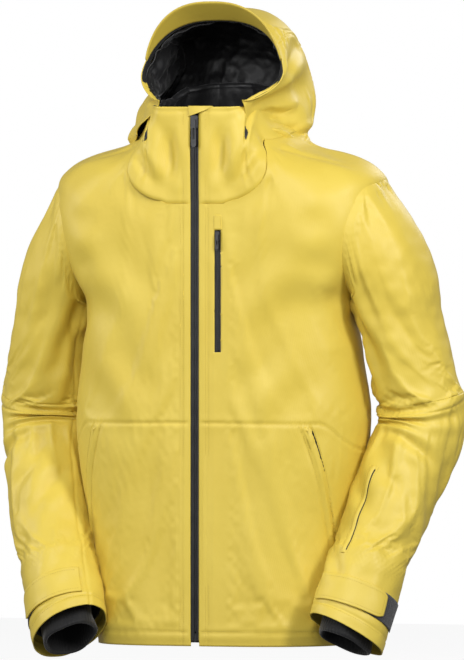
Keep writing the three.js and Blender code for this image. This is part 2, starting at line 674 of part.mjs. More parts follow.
function sleeves() {
  for (const [name, side] of sides) {
    const ballTop = 1 + BALL_END * BALL_STEP;
    add(`${name}_upper_sleeve`, "shell", ring(upper(side), [0, ballTop], [0, 4.5], 18, 9));
    const arm = forearm(side);
    const top = armSide(side).length - forearmStart;
    // The forearm's upper edge is slanted, so that the elbow has room to bend.
    const slanted = (turn, share, depth) => {
      const high = top - (ELBOW_RELIEF * (1 + Math.cos(degToRad(turn)))) / 2;
      return arm(turn, lerp(0, high, share), depth);
    };
    add(`${name}_forearm`, "shell", ring(slanted, [0, 1], [0, SHELL], 18, 4));
    const lined = (turn, share, depth) => {
      const high = top - 1 - (ELBOW_RELIEF * (1 + Math.cos(degToRad(turn)))) / 2;
      return arm(turn, lerp(40, high, share), depth);
    };
    add(`${name}_forearm_lining`, "lining", ring(lined, [0, 1], SLEEVE_LINING, 18, 4));
    const gaiter = (turn, up, depth) => arm(turn, up, depth + forearmRadius(up) - GAITER_RADIUS);
    add(`${name}_wrist_gaiter`, "lining", gaiterRing(side, gaiter));
    add(
      `${name}_cuff_loop_patch`,
      "loop",
      patch(arm, [STRAP_BASE + 50, LOOP_END], [STRAP_LOW + 6, STRAP_HIGH - 6], [-TOUCH - LOOP_THICK, -TOUCH], 10, 1),
    );
    const over = TOUCH * 2 + LOOP_THICK;
    if (side > 0) {
      const half = FOREARM_ZIP_HALF;
      const turns = [FOREARM_ZIP_TURN - half, FOREARM_ZIP_TURN + half];
      add("left_pass_pocket_welt", "shell", patch(arm, turns, FOREARM_ZIP, [-TOUCH - 1.6, -TOUCH], 2, 3));
    }
    add(
      `${name}_cuff_strap`,
      "shell",
      patch(arm, [STRAP_BASE, STRAP_END], [STRAP_LOW, STRAP_HIGH], [-over - STRAP_THICK, -over], 10, 1),
    );
  }
}

// The knitted gaiter flares at its top until it meets the sleeve's lining.
function gaiterRing(side, gaiter) {
  const flare = (turn, share, depth) => {
    const up = lerp(-GAITER_PROUD, GAITER_LENGTH, share);
    const out = THREE.MathUtils.smoothstep(share, 0.55, 1) * (forearmRadius(up) - SLEEVE_LINING[1] - TOUCH - GAITER_RADIUS);
    return gaiter(turn, up, depth - out);
  };
  return ring(flare, [0, 1], [0, GAITER_WALL], 18, 4);
}

bodyShell();
bodyLining();
collarPieces();
mainZip();
sliders();
chestPocket();
handPockets();
hangerLoop();
hoodPieces();
sleeves();

// The peg carries the middle of the hanger loop, under the webbing.
jacket.position.set(0, LOOP_WIDE / 2 - loopBack, LOOP_THICK_MM - LOOP_TOP);

export default jacket;
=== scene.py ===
"""An insulated, hooded ski jacket, shown as worn. Shapes are worked out in millimetres above the hem, with the
front towards -Y, and moved into the CAD frame, in metres, when their meshes are made."""

import json
import math

import bmesh
import bpy
import numpy as np
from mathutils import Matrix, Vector
from mathutils.bvhtree import BVHTree


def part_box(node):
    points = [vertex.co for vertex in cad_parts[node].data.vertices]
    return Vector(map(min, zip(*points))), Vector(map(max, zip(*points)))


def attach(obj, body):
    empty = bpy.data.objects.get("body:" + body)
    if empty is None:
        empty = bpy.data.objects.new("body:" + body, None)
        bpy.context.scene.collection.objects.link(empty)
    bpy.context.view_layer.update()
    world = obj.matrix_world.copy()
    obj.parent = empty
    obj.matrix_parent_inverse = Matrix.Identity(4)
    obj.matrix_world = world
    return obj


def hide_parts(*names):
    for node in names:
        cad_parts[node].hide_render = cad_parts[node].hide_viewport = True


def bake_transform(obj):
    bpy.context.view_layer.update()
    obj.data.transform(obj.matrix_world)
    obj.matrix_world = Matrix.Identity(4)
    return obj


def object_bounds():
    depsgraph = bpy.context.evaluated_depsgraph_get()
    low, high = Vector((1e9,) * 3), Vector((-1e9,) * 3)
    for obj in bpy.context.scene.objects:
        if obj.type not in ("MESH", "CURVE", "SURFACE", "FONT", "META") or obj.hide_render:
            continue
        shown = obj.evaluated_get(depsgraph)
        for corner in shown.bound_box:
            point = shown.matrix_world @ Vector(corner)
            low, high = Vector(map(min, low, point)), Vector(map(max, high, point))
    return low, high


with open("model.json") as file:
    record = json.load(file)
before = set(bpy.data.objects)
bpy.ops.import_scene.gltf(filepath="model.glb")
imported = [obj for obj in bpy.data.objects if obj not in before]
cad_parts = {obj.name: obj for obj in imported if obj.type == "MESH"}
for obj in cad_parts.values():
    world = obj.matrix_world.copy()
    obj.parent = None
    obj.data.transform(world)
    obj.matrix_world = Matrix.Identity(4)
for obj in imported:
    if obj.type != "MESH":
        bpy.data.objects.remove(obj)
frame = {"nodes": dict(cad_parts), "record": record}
cad_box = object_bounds()

# ---- Frame -----------------------------------------------------------------------------------------------
# The left tape of the main zip starts 6 mm above the hem, with its front 134 mm forward of the arms' plane.
TAPE_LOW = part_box("main_zip_tape_left")[0]
SHIFT = np.array([0.0, TAPE_LOW[1] * 1000 + 134, TAPE_LOW[2] * 1000 - 6])


def row(points):
    """Hem millimetres to the CAD frame's metres."""
    return (np.asarray(points, float) + SHIFT) / 1000


def hem(point):
    """The CAD frame's metres to hem millimetres."""
    return np.array(point) * 1000 - SHIFT


JOINTS = {j["name"]: j for j in frame["record"]["behaviour"]["joints"]}

# ---- Camera, made first ----------------------------------------------------------------------------------
VIEW_TURN = math.radians(20)  # how far the camera stands round towards the wearer's left
VIEW_RISE = math.radians(1)
VIEW_FAR = 20000
VIEW_MIDDLE = 501  # height of the picture's middle above the hem
VIEW_ASIDE = 13  # how far right of the body's axis the picture's middle lies
VIEW_HIGH = 1056
SENSOR_HIGH = 24


def make_camera():
    data = bpy.data.cameras.new("camera")
    camera = bpy.data.objects.new("camera", data)
    bpy.context.scene.collection.objects.link(camera)
    back = Vector(
        (
            math.sin(VIEW_TURN) * math.cos(VIEW_RISE),
            -math.cos(VIEW_TURN) * math.cos(VIEW_RISE),
            math.sin(VIEW_RISE),
        )
    )
    right = Vector((math.cos(VIEW_TURN), math.sin(VIEW_TURN), 0))
    aim = Vector(row((0, 0, VIEW_MIDDLE))) + right * VIEW_ASIDE / 1000
    camera.location = aim + back * VIEW_FAR / 1000
    camera.rotation_mode = "QUATERNION"
    camera.rotation_quaternion = (-back).to_track_quat("-Z", "Y")
    data.sensor_fit = "VERTICAL"
    data.sensor_height = SENSOR_HIGH
    data.lens = SENSOR_HIGH * VIEW_FAR / VIEW_HIGH
    data.clip_start = 0.1
    data.clip_end = 100
    bpy.context.scene.camera = camera


make_camera()


# ---- Small maths -----------------------------------------------------------------------------------------
def bell(x, width):
    """1 where x is 0, falling smoothly to nothing a few widths away."""
    return np.exp(-((x / width) ** 2))


def smooth(x, low, high):
    t = np.clip((np.asarray(x, float) - low) / (high - low), 0, 1)
    return t * t * (3 - 2 * t)


def mix(a, b, t):
    return a + (b - a) * t


def signed_power(x, p):
    return np.sign(x) * np.abs(x) ** p


def through(rows):
    """Smooth curves through a table whose first column is the place along it."""
    rows = np.array(rows, float)
    at, values = rows[:, 0], rows[:, 1:]
    slope = np.gradient(values, at, axis=0)

    def value(x):
        x = np.clip(np.asarray(x, float), at[0], at[-1])
        i = np.clip(np.searchsorted(at, x, side="right") - 1, 0, len(at) - 2)
        span = (at[i + 1] - at[i])[..., None]
        t = ((x - at[i]) / (at[i + 1] - at[i]))[..., None]
        start = (2 * t**3 - 3 * t**2 + 1) * values[i] + (t**3 - 2 * t**2 + t) * span * slope[i]
        return start + (3 * t**2 - 2 * t**3) * values[i + 1] + (t**3 - t**2) * span * slope[i + 1]

    return value


def unit(v):
    return v / np.maximum(np.linalg.norm(v, axis=-1, keepdims=True), 1e-9)


def ripple(points, seed, length, octaves=3):
    """Soft random swells, from -1 to 1 or so, as long as length."""
    random = np.random.default_rng(seed)
    total = np.zeros(points.shape[:-1])
    for octave in range(octaves):
        for _ in range(5):
            way = unit(random.normal(size=3))
            phase = random.uniform(0, 2 * math.pi)
            size = length / 1.9**octave * random.uniform(0.75, 1.35)
            total += np.sin(points @ way * (2 * math.pi / size) + phase) / 1.7**octave
    return total / 4.5


# ---- Meshes from grids -----------------------------------------------------------------------------------
def grid_faces(rows, columns, wrap):
    """Faces of a grid of points, row by row. wrap joins each row's last column to its first."""
    index = np.arange(rows * columns).reshape(rows, columns)
    right = np.roll(index, -1, axis=1) if wrap else index[:, 1:]
    left = index if wrap else index[:, :-1]
    return np.stack([left[:-1], right[:-1], right[1:], left[1:]], axis=-1).reshape(-1, 4)


def mesh_object(name, points, faces, material):
    data = bpy.data.meshes.new(name)
    data.from_pydata(points.reshape(-1, 3).tolist(), [], faces.tolist())
    data.polygons.foreach_set("use_smooth", [True] * len(data.polygons))
    if material:
        data.materials.append(material)
    made = bpy.data.objects.new(name, data)
    bpy.context.scene.collection.objects.link(made)
    return made


def normals_of(grid, wrap):
    """Normals of a grid of points, to the side that the grid's columns and rows turn towards."""
    if wrap:
        across = np.roll(grid, -1, axis=1) - np.roll(grid, 1, axis=1)
    else:
        across = np.gradient(grid, axis=1)
    return unit(np.cross(across, np.gradient(grid, axis=0)))


def cloth_piece(name, grid, material, wrap=False, thick=1.6, inside=None, faces=None):
    """A grid of points, in hem millimetres, as cloth of a real thickness whose outer face is the grid.
    The outer face is turned away from inside, or from the upright line through the body."""
    rows, columns = grid.shape[:2]
    if faces is None:
        faces = grid_faces(rows, columns, wrap)
    flat = grid.reshape(-1, 3)
    normal = np.cross(flat[faces[:, 2]] - flat[faces[:, 0]], flat[faces[:, 3]] - flat[faces[:, 1]])
    middle = flat[faces].mean(axis=1)
    away = middle * (1, 1, 0) if inside is None else middle - np.asarray(inside, float)
    if np.sum(normal * away) < 0:
        faces = faces[:, ::-1]
    made = mesh_object(name, row(grid), faces, material)
    if thick:
        bake(made, "SOLIDIFY", thickness=thick / 1000, offset=-1)
    return made


def bake(made, kind, **settings):
    """Adds a modifier, sets it and applies it."""
    modifier = made.modifiers.new(kind.lower(), kind)
    for key, value in settings.items():
        setattr(modifier, key, value)
    graph = bpy.context.evaluated_depsgraph_get()
    data = bpy.data.meshes.new_from_object(made.evaluated_get(graph), depsgraph=graph)
    made.modifiers.clear()
    made.data = data
    made.data.polygons.foreach_set("use_smooth", [True] * len(data.polygons))


def settle(grid, held, growth, swell=1.0, frames=16, limit=12, wrap=False):
    """How far each point of a grid moves as its cloth, a little larger than its shape, is let go and creases.
    held is 1 where the cloth is sewn down. The grid is in hem millimetres, and so are the moves."""
    rows, columns = grid.shape[:2]
    made = mesh_object("settling", row(grid), grid_faces(rows, columns, wrap), None)
    group = made.vertex_groups.new(name="held")
    steps = np.round(held.reshape(-1) * 10).astype(int)
    for step in range(1, 11):
        group.add(np.flatnonzero(steps == step).tolist(), step / 10, "REPLACE")
    modifier = made.modifiers.new("cloth", "CLOTH")
    cloth = modifier.settings
    cloth.quality = 4
    cloth.mass = 0.15
    cloth.air_damping = 3
    cloth.tension_stiffness = 14
    cloth.compression_stiffness = 14
    cloth.shear_stiffness = 5
    cloth.bending_stiffness = 1.2
    cloth.bending_damping = 1.0
    cloth.vertex_group_mass = "held"
    cloth.shrink_min = -growth
    cloth.use_pressure = True
    cloth.uniform_pressure_force = swell
    cloth.effector_weights.gravity = 0.35
    modifier.collision_settings.use_collision = False
    modifier.point_cache.frame_end = frames
    scene = bpy.context.scene
    for step in range(1, frames + 1):
        scene.frame_set(step)
    graph = bpy.context.evaluated_depsgraph_get()
    settled = np.empty(rows * columns * 3)
    made.evaluated_get(graph).data.vertices.foreach_get("co", settled)
    bpy.data.objects.remove(made)
    scene.frame_set(1)
    move = settled.reshape(grid.shape) * 1000 - SHIFT - grid
    far = np.linalg.norm(move, axis=-1, keepdims=True)
    return move * (limit * np.tanh(far / limit) / np.maximum(far, 1e-6))


def finer(coarse, rows, columns, wrap=False):
    """A coarse grid of values read off at more rows and columns, smoothly."""
    at = np.linspace(0, coarse.shape[0] - 1, rows)
    if wrap:
        coarse = np.concatenate([coarse[:, -2:], coarse, coarse[:, :3]], axis=1)
        over = 2 + np.arange(columns) * (coarse.shape[1] - 5) / columns
    else:
        over = np.linspace(0, coarse.shape[1] - 1, columns)
    return cubic(np.swapaxes(cubic(np.swapaxes(coarse, 0, 1), over), 0, 1), at)


def cubic(values, at):
    """Catmull-Rom reading of values, down their first axis, at fractional places."""
    last = len(values) - 1
    i = np.clip(np.floor(at).astype(int), 0, last - 1)
    t = (at - i).reshape(-1, *[1] * (values.ndim - 1))
    a, b = values[np.clip(i - 1, 0, last)], values[i]
    c, d = values[i + 1], values[np.clip(i + 2, 0, last)]
    return 0.5 * (
        2 * b + (c - a) * t + (2 * a - 5 * b + 4 * c - d) * t**2 + (3 * b - a - 3 * c + d) * t**3
    )


def lay_on(tree, points, out):
    """Points in hem millimetres dropped onto a finished surface and lifted off it by out."""
    flat = np.asarray(points, float).reshape(-1, 3)
    out = np.broadcast_to(np.asarray(out, float), np.shape(points)[:-1]).reshape(-1)
    laid = np.empty_like(flat)
    for k, (point, lift) in enumerate(zip(flat, out)):
        place, normal, _, _ = tree.find_nearest(Vector(row(point)))
        if normal.dot(Vector(row(point)) - Vector(row(point * (0.6, 0.6, 1)))) < 0:
            normal = -normal
        laid[k] = hem(place + normal * lift / 1000)
    return laid.reshape(np.shape(points))


def calm(grid, times):
    """Averages a grid of points with its neighbours, so that a patch bridges the small creases below."""
    for _ in range(times):
        inner = (grid[:-2, 1:-1] + grid[2:, 1:-1] + grid[1:-1, :-2] + grid[1:-1, 2:]) / 4
        grid = grid.copy()
        grid[1:-1, 1:-1] = inner
        grid[0, 1:-1] = (grid[0, :-2] + 2 * grid[0, 1:-1] + grid[0, 2:]) / 4
        grid[-1, 1:-1] = (grid[-1, :-2] + 2 * grid[-1, 1:-1] + grid[-1, 2:]) / 4
        grid[1:-1, 0] = (grid[:-2, 0] + 2 * grid[1:-1, 0] + grid[2:, 0]) / 4
        grid[1:-1, -1] = (grid[:-2, -1] + 2 * grid[1:-1, -1] + grid[2:, -1]) / 4
    return grid


# ---- Materials -------------------------------------------------------------------------------------------
class Shader:
    """A material whose nodes are added one by one."""

    def __init__(self, name):
        self.material = bpy.data.materials.new(name)
        self.material.use_nodes = True
        self.tree = self.material.node_tree
        self.principled = self.tree.nodes["Principled BSDF"]

    def set(self, **values):
        for key, value in values.items():
            self.principled.inputs[key.replace("_", " ")].default_value = value
        return self

    def node(self, kind, **values):
        made = self.tree.nodes.new(kind)
        for key, value in values.items():
            if isinstance(value, bpy.types.NodeSocket):
                self.tree.links.new(value, made.inputs[key.replace("_", " ")])
            elif key in made.inputs or key.replace("_", " ") in made.inputs:
                made.inputs[key.replace("_", " ")].default_value = value
            else:
                setattr(made, key, value)
        return made

    def link(self, socket, name):
        self.tree.links.new(socket, self.principled.inputs[name])

    def noise(self, scale, detail=3.0, rough=0.5):
        place = self.node("ShaderNodeTexCoord").outputs["Object"]
        made = self.node("ShaderNodeTexNoise", Vector=place, Scale=scale, Detail=detail, Roughness=rough)
        return made.outputs["Fac"]

    def threads(self, size, turn):
        """Fine parallel threads, size metres apart, laid at an angle in the jacket's front plane."""
        place = self.node("ShaderNodeTexCoord").outputs["Object"]
        turned = self.node("ShaderNodeMapping", Vector=place, Rotation=(0.3, turn, 0.5)).outputs["Vector"]
        wave = self.node(
            "ShaderNodeTexWave", wave_type="BANDS", bands_direction="X", Vector=turned, Scale=1 / (size * 6.28)
        )
        wave.inputs["Distortion"].default_value = 0.6
        return wave.outputs["Fac"]

    def maths(self, operation, a, b):
        made = self.node("ShaderNodeMath", operation=operation)
        for socket, value in zip(made.inputs, (a, b)):
            if isinstance(value, bpy.types.NodeSocket):
                self.tree.links.new(value, socket)
            else:
                socket.default_value = value
        return made.outputs[0]

    def ramp(self, factor, *stops):
        made = self.node("ShaderNodeValToRGB", Fac=factor)
        for i, (place, colour) in enumerate(stops):
            element = made.color_ramp.elements[i] if i < 2 else made.color_ramp.elements.new(place)
            element.position = place
            element.color = (*colour, 1)
        return made.outputs["Color"]

    def bump(self, *layers):
        """Each layer is a height socket, a strength and a distance in metres."""
        normal = None
        for height, strength, distance in layers:
            made = self.node("ShaderNodeBump", Height=height, Strength=strength, Distance=distance)
            if normal:
                self.tree.links.new(normal, made.inputs["Normal"])
            normal = made.outputs["Normal"]
        self.link(normal, "Normal")
        return self.material


def weave(shader, size):
    """A two-way weave, as a height."""
    return shader.maths("MULTIPLY", shader.threads(size, 0.0), shader.threads(size, math.pi / 2))


def shell_fabric(name, light, dark, rough):
    """Waterproof shell cloth: a fine weave, slight puckers, faint rubbed patches and a soft sheen."""
    s = Shader(name).set(Metallic=0.0, Specular_IOR_Level=0.42, Sheen_Weight=0.06, Sheen_Roughness=0.3)
    s.principled.inputs["Sheen Tint"].default_value = (1.0, 0.93, 0.62, 1)
    broad = s.noise(7, 4)
    s.link(s.ramp(broad, (0.32, dark), (0.68, light)), "Base Color")
    wear = s.noise(38, 5, 0.62)
    s.link(s.maths("MULTIPLY_ADD", wear, 0.16), "Roughness")
    s.principled.inputs["Roughness"].links[0].from_node.inputs[2].default_value = rough - 0.08
    puckers = (s.noise(17, 3, 0.5), 0.26, 0.0045)
    grain = (s.noise(95, 3), 0.16, 0.0010)
    return s.bump(puckers, grain, (weave(s, 0.0009), 0.25, 0.0003))


def lining_fabric(name, colour, rough, pucker):
    """Thin black nylon over padding: shallow creases and a slight shine."""
    s = Shader(name).set(Metallic=0.0, Specular_IOR_Level=0.5, Sheen_Weight=0.15, Sheen_Roughness=0.35)
    s.link(s.ramp(s.noise(18), (0.3, colour), (0.75, tuple(c * 1.5 for c in colour))), "Base Color")
    s.link(s.maths("ADD", s.maths("MULTIPLY", s.noise(60), 0.18), rough - 0.09), "Roughness")
    return s.bump((s.noise(32, 5, 0.6), pucker, 0.006), (weave(s, 0.0007), 0.3, 0.0003))


def knit_fabric():
    """Ribbed stretch knit for the wrist gaiters."""
    s = Shader("gaiter knit").set(Metallic=0.0, Specular_IOR_Level=0.3, Sheen_Weight=0.25, Sheen_Roughness=0.5)
    s.link(s.ramp(s.noise(45), (0.3, (0.004, 0.004, 0.0045)), (0.7, (0.009, 0.009, 0.0095))), "Base Color")
    s.link(s.maths("ADD", s.maths("MULTIPLY", s.noise(90), 0.1), 0.62), "Roughness")
    return s.bump((s.threads(0.0028, 0.2), 0.25, 0.0008), (s.noise(420), 0.4, 0.0006))


def tape_fabric():
    """Woven zip tape."""
    s = Shader("zip tape").set(Metallic=0.0, Specular_IOR_Level=0.35, Sheen_Weight=0.1)
    s.link(s.ramp(s.noise(80), (0.3, (0.004, 0.004, 0.0045)), (0.7, (0.008, 0.008, 0.0085))), "Base Color")
    s.link(s.maths("ADD", s.maths("MULTIPLY", s.noise(120), 0.12), 0.5), "Roughness")
    return s.bump((weave(s, 0.0011), 0.55, 0.0005),)


def coated(name):
    """Zip tape under a water-repellent film: woven ribs seen through a smooth, slightly shiny skin."""
    s = Shader(name).set(Metallic=0.0, Specular_IOR_Level=0.5)
    s.link(s.ramp(s.noise(60), (0.3, (0.004, 0.004, 0.0045)), (0.7, (0.009, 0.009, 0.0095))), "Base Color")
    s.link(s.maths("ADD", s.maths("MULTIPLY", s.noise(150), 0.14), 0.33), "Roughness")
    return s.bump((s.threads(0.0016, math.pi / 2), 0.3, 0.0004), (s.noise(300), 0.15, 0.0003))


def moulded(name, colour, rough):
    """Moulded plastic with a fine skin and slightly worn, paler edges."""
    s = Shader(name).set(Metallic=0.0, Specular_IOR_Level=0.5)
    edge = s.node("ShaderNodeNewGeometry").outputs["Pointiness"]
    worn = s.ramp(edge, (0.5, colour), (0.58, tuple(c * 2.0 + 0.004 for c in colour)))
    s.link(worn, "Base Color")
    s.link(s.maths("ADD", s.maths("MULTIPLY", s.noise(240), 0.16), rough - 0.08), "Roughness")
    return s.bump((s.noise(900), 0.15, 0.0002),)


def loop_fabric():
    """The fuzzy half of hook-and-loop tape."""
    s = Shader("loop pile").set(Metallic=0.0, Specular_IOR_Level=0.2, Sheen_Weight=0.25, Sheen_Roughness=0.6)
    s.link(s.ramp(s.noise(700), (0.3, (0.012, 0.012, 0.013)), (0.7, (0.045, 0.045, 0.047))), "Base Color")
    s.set(Roughness=0.9)
    return s.bump((s.noise(1100, 5), 1.0, 0.0015),)


YELLOW = (0.70, 0.535, 0.082)
YELLOW_DEEP = (0.655, 0.49, 0.066)
shell = shell_fabric("shell fabric", YELLOW, YELLOW_DEEP, 0.47)
# A darker copy of the yellow shell cloth for the hood's brim: its two colours are painted shade for the brim's
# shadowed underside, not a cloth of another colour.
painted_shade_brim = shell_fabric("facing fabric", (0.60, 0.45, 0.06), (0.54, 0.40, 0.05), 0.55)
black = lining_fabric("body lining", (0.005, 0.005, 0.0055), 0.52, 0.3)
tape_black = tape_fabric()
coated_tape = coated("coated tape")
knit = knit_fabric()
plastic = moulded("moulded plastic", (0.005, 0.005, 0.0055), 0.34)
thread = moulded("sewing thread", (0.50, 0.37, 0.045), 0.6)
pile = loop_fabric()

# ---- The body's surface ----------------------------------------------------------------------------------
FRONT = 136
FLAT_HALF = 56
FLAT_TURN = 15
ZIP_SHOW = 7.2
# height, half width, back depth, and how square the front and the back of the section are
body_section = through(
    [
        (0, 207, 120, 2.15, 2.3),
        (70, 211, 124, 2.2, 2.3),
        (180, 216, 126, 2.2, 2.4),
        (300, 237, 128, 2.2, 2.4),
        (380, 243, 129, 2.2, 2.4),
        (470, 232, 131, 2.3, 2.4),
        (545, 221, 134, 2.5, 2.6),
        (600, 246, 133, 2.9, 2.9),
        (660, 264, 129, 3.1, 3.1),
        (710, 272, 120, 2.6, 2.8),
        (752, 266, 107, 1.95, 2.3),
        (780, 225, 93, 1.45, 1.9),
        (800, 158, 84, 1.4, 1.8),
        (830, 112, 76, 1.6, 1.9),
    ]
)


def body_at(turn, height):
    """The bare body surface. turn is in degrees from the centre front towards the wearer's left, up to 360."""
    turn, height = np.broadcast_arrays(np.asarray(turn, float), np.asarray(height, float))
    half, back, square_front, square_back = np.moveaxis(body_section(height), -1, 0)
    side = np.where(turn > 180, -1.0, 1.0)
    away = np.where(turn > 180, 360 - turn, turn)
    front = away <= 90
    bent = np.clip((away - FLAT_TURN) * 90 / (90 - FLAT_TURN), 0, 90)
    angle = np.radians(np.where(front, bent, away))
    square = 2 / np.where(front, square_front, square_back)
    sine = signed_power(np.sin(angle), square)
    wide = np.where(front, FLAT_HALF + (half - FLAT_HALF) * sine, half * sine)
    wide = np.where(away < FLAT_TURN, FLAT_HALF * away / FLAT_TURN, wide)
    deep = -np.where(front, FRONT, back) * signed_power(np.cos(angle), square)
    return np.stack([side * wide, deep, height], axis=-1)


NECK_FRONT = 704
NECK_BACK = 818


def neck_seam(turn):
    """Level across the front, then climbing over each collarbone to the back of the neck."""
    away = np.where(turn > 180, 360 - turn, turn)
    straight = np.clip((away - 13) / 35, 0, 1)
    climb = mix(straight, smooth(straight, 0, 1), 0.4)
    return mix(NECK_FRONT, NECK_BACK, 0.89 * climb + 0.11 * smooth(away, 50, 82))


def even_turns(height, first, count):
    """Turns round the body, evenly spaced along the cloth at one height, from first degrees to 360 - first."""
    dense = np.linspace(first, 360 - first, 1601)
    points = body_at(dense, height)
    run = np.concatenate([[0], np.cumsum(np.linalg.norm(np.diff(points, axis=0), axis=1))])
    return np.interp(np.linspace(0, run[-1], count), run, dense)


# ---- Folds, seams and stitching --------------------------------------------------------------------------
def strokes(x, z, rows):
    """Depth of folds drawn on a plane. Each is from (x, z) to (x, z), with a half width and a depth, which is
    positive for a groove."""
    total = np.zeros(np.shape(x))
    for x0, z0, x1, z1, width, depth in rows:
        long = math.hypot(x1 - x0, z1 - z0)
        along = ((x - x0) * (x1 - x0) + (z - z0) * (z1 - z0)) / long
        off = ((x - x0) * (z1 - z0) - (z - z0) * (x1 - x0)) / long
        taper = smooth(along, -width, long * 0.3) * (1 - smooth(along, long * 0.65, long + width))
        groove = bell(off, width)
        banks = bell(np.abs(off) - 1.9 * width, width)
        total += depth * taper * (groove - 0.42 * banks)
    return total


def groove(distance, half=2.2, depth=1.3, puff=1.0):
    """The dip of a seam and the cloth that swells beside it."""
    beside = bell(np.abs(distance) - 7, 6)
    return depth * bell(distance, half) - 0.4 * puff * beside


def stitch_line(name, path, tree, material, long=2.6, gap=1.2, proud=0.15):
    """Short raised stitches along a path in hem millimetres, laid on the surface held in tree."""
    path = np.asarray(path, float)
    run = np.concatenate([[0], np.cumsum(np.linalg.norm(np.diff(path, axis=0), axis=1))])
    starts = np.arange(0, run[-1] - long, long + gap)
    ends = [
        np.stack([np.interp(at, run, path[:, k]) for k in range(3)], axis=-1) for at in (starts, starts + long)
    ]
    points, faces = [], []
    for a, b in zip(*ends):
        here, normal, _, _ = tree.find_nearest(Vector(row(a)))
        there, _, _, _ = tree.find_nearest(Vector(row(b)))
        if here is None or there is None or (there - here).length < 1e-5:
            continue
        along = (there - here).normalized()
        side = along.cross(normal).normalized() * 0.00032
        up = normal * 0.00032
        base = len(points)
        lift = normal * proud / 1000
        for spot, shrink in ((here, 0.35), ((here + there) / 2, 1.0), (there, 0.35)):
            for s, u in ((1, 0.2), (0, 1), (-1, 0.2), (0, -0.6)):
                points.append(tuple(spot + lift * shrink + side * s * shrink + up * u * shrink))
        for ring in range(2):
            for k in range(4):
                a0, a1 = base + ring * 4 + k, base + ring * 4 + (k + 1) % 4
                faces.append((a0, a1, a1 + 4, a0 + 4))
        faces.append((base + 3, base + 2, base + 1, base))
        faces.append((base + 8, base + 9, base + 10, base + 11))
    data = bpy.data.meshes.new(name)
    data.from_pydata(points, [], faces)
    data.polygons.foreach_set("use_smooth", [True] * len(data.polygons))
    data.materials.append(material)
    made = bpy.data.objects.new(name, data)
    bpy.context.scene.collection.objects.link(made)
    return made


def tree_of(made):
    graph = bpy.context.evaluated_depsgraph_get()
    return BVHTree.FromObject(made, graph)


# ---- Body shell ------------------------------------------------------------------------------------------
WAIST_SEAM = 355
YOKE_SEAM = 640
HEM_STITCH = 22
PLACKET = 21  # from the zip's middle out to the stitched edge beside it
# Folds of the front, seen from the front: from (x, height) to (x, height), half width, depth.
FRONT_FOLDS = [
    (150, 640, 60, 560, 26, 3.2),
    (-150, 640, -70, 560, 26, 3.0),
    (175, 575, 90, 470, 24, 3.4),
    (-170, 560, -95, 450, 24, 3.2),
    (165, 505, 70, 400, 22, 2.6),
    (-160, 490, -70, 400, 22, 2.8),
    (190, 430, 110, 330, 20, 2.6),
    (-190, 430, -120, 320, 22, 2.8),
    (60, 690, 130, 740, 18, 3.0),
    (-60, 690, -125, 740, 18, 3.0),
    (95, 300, 70, 80, 34, 3.0),
    (-90, 300, -75, 90, 34, 3.2),
    (150, 330, 140, 60, 26, 2.6),
    (-150, 320, -140, 60, 26, 2.6),
    (28, 640, 34, 420, 14, 1.4),
    (-34, 600, -30, 330, 14, 1.4),
]


def body_folds(points):
    x, y, z = np.moveaxis(points, -1, 0)
    front = smooth(-y, -20, 60)
    depth = front * strokes(x, z, FRONT_FOLDS)
    depth += 2.4 * ripple(points, 3, 230, 2) * smooth(np.abs(x), 25, 90)
    depth += 0.4 * ripple(points * (1, 1, 0.6), 5, 80, 2) * smooth(np.abs(x), 20, 60)
    # The arm's weight gathers the cloth in front of and below the armhole.
    around = np.hypot((y - 3) / 100, (z - 660) / 102)
    fan = np.arctan2(z - 660, y)
    gather = bell(around - 1.22, 0.2) * smooth(np.abs(x), 150, 200)
    depth += 2.2 * gather * np.sin(fan * 11)
    return depth


def body_seams(points):
    x, y, z = np.moveaxis(points, -1, 0)
    front = (y < 0).astype(float)
    depth = front * groove(z - waist_height(x), 1.8, 1.9)
    depth += groove(np.abs(x) - PLACKET, 1.6, 1.1) * front
    depth += groove(np.abs(x) - PLACKET - 6, 1.2, 0.5) * front
    depth += (1 - front) * groove(z - YOKE_SEAM)
    depth += groove(z - HEM_STITCH, 1.6, 1.0)
    return depth


def waist_height(x):
    """The waist seam is level, then runs down and outward past the hand pockets."""
    return WAIST_SEAM - 46 * smooth(np.abs(x), 196, 250)


CHEST_X = 39
CHEST_SHOW = 5.4
CHEST_LOW, CHEST_HIGH = 468, 662


EDGE_TURN = FLAT_TURN * ZIP_SHOW / FLAT_HALF  # degrees from the centre front to the shell's edge at the zip


def body_grid(columns, rows, snap=True):
    """The body's outside as a grid from the hem to the neck seam, and the turn of each point.
    Two columns and two rows are moved onto the chest pocket's slot."""
    share = 1 - (1 - np.linspace(0, 1, rows)) ** 1.25
    if snap:
        for height in (CHEST_LOW, CHEST_HIGH):
            share[np.argmin(np.abs(share - height / NECK_FRONT))] = height / NECK_FRONT
    grid, turned = [], []
    for s in share:
        turns = even_turns(s * 780, EDGE_TURN, columns)
        if snap:
            for x in (CHEST_X - CHEST_SHOW, CHEST_X + CHEST_SHOW):
                turns[np.argmin(np.abs(turns - x * FLAT_TURN / FLAT_HALF))] = x * FLAT_TURN / FLAT_HALF
        grid.append(body_at(turns, neck_seam(turns) * s))
        turned.append(turns)
    return np.array(grid), np.array(turned)


def outward_normals(grid, wrap=False, middle=None):
    """Normals that point away from the upright line through the body, or from a given middle."""
    normal = normals_of(grid, wrap)
    away = grid * (1, 1, 0) if middle is None else grid - middle
    side = np.sign(np.sum(normal * away, axis=-1, keepdims=True))
    side[side == 0] = 1
    return normal * side


POCKET_TOP = (47, 350)  # degrees round from the centre front, and height
POCKET_LOW = (72, 165)


def pocket_offset(turn, z):
    """Millimetres of cloth behind the hand pocket's line, and how far down the pocket a point is."""
    away = np.where(turn > 180, 360 - turn, turn)
    down = (POCKET_TOP[1] - z) / (POCKET_TOP[1] - POCKET_LOW[1])
    return (away - mix(POCKET_TOP[0], POCKET_LOW[0], down)) * 3.5, down


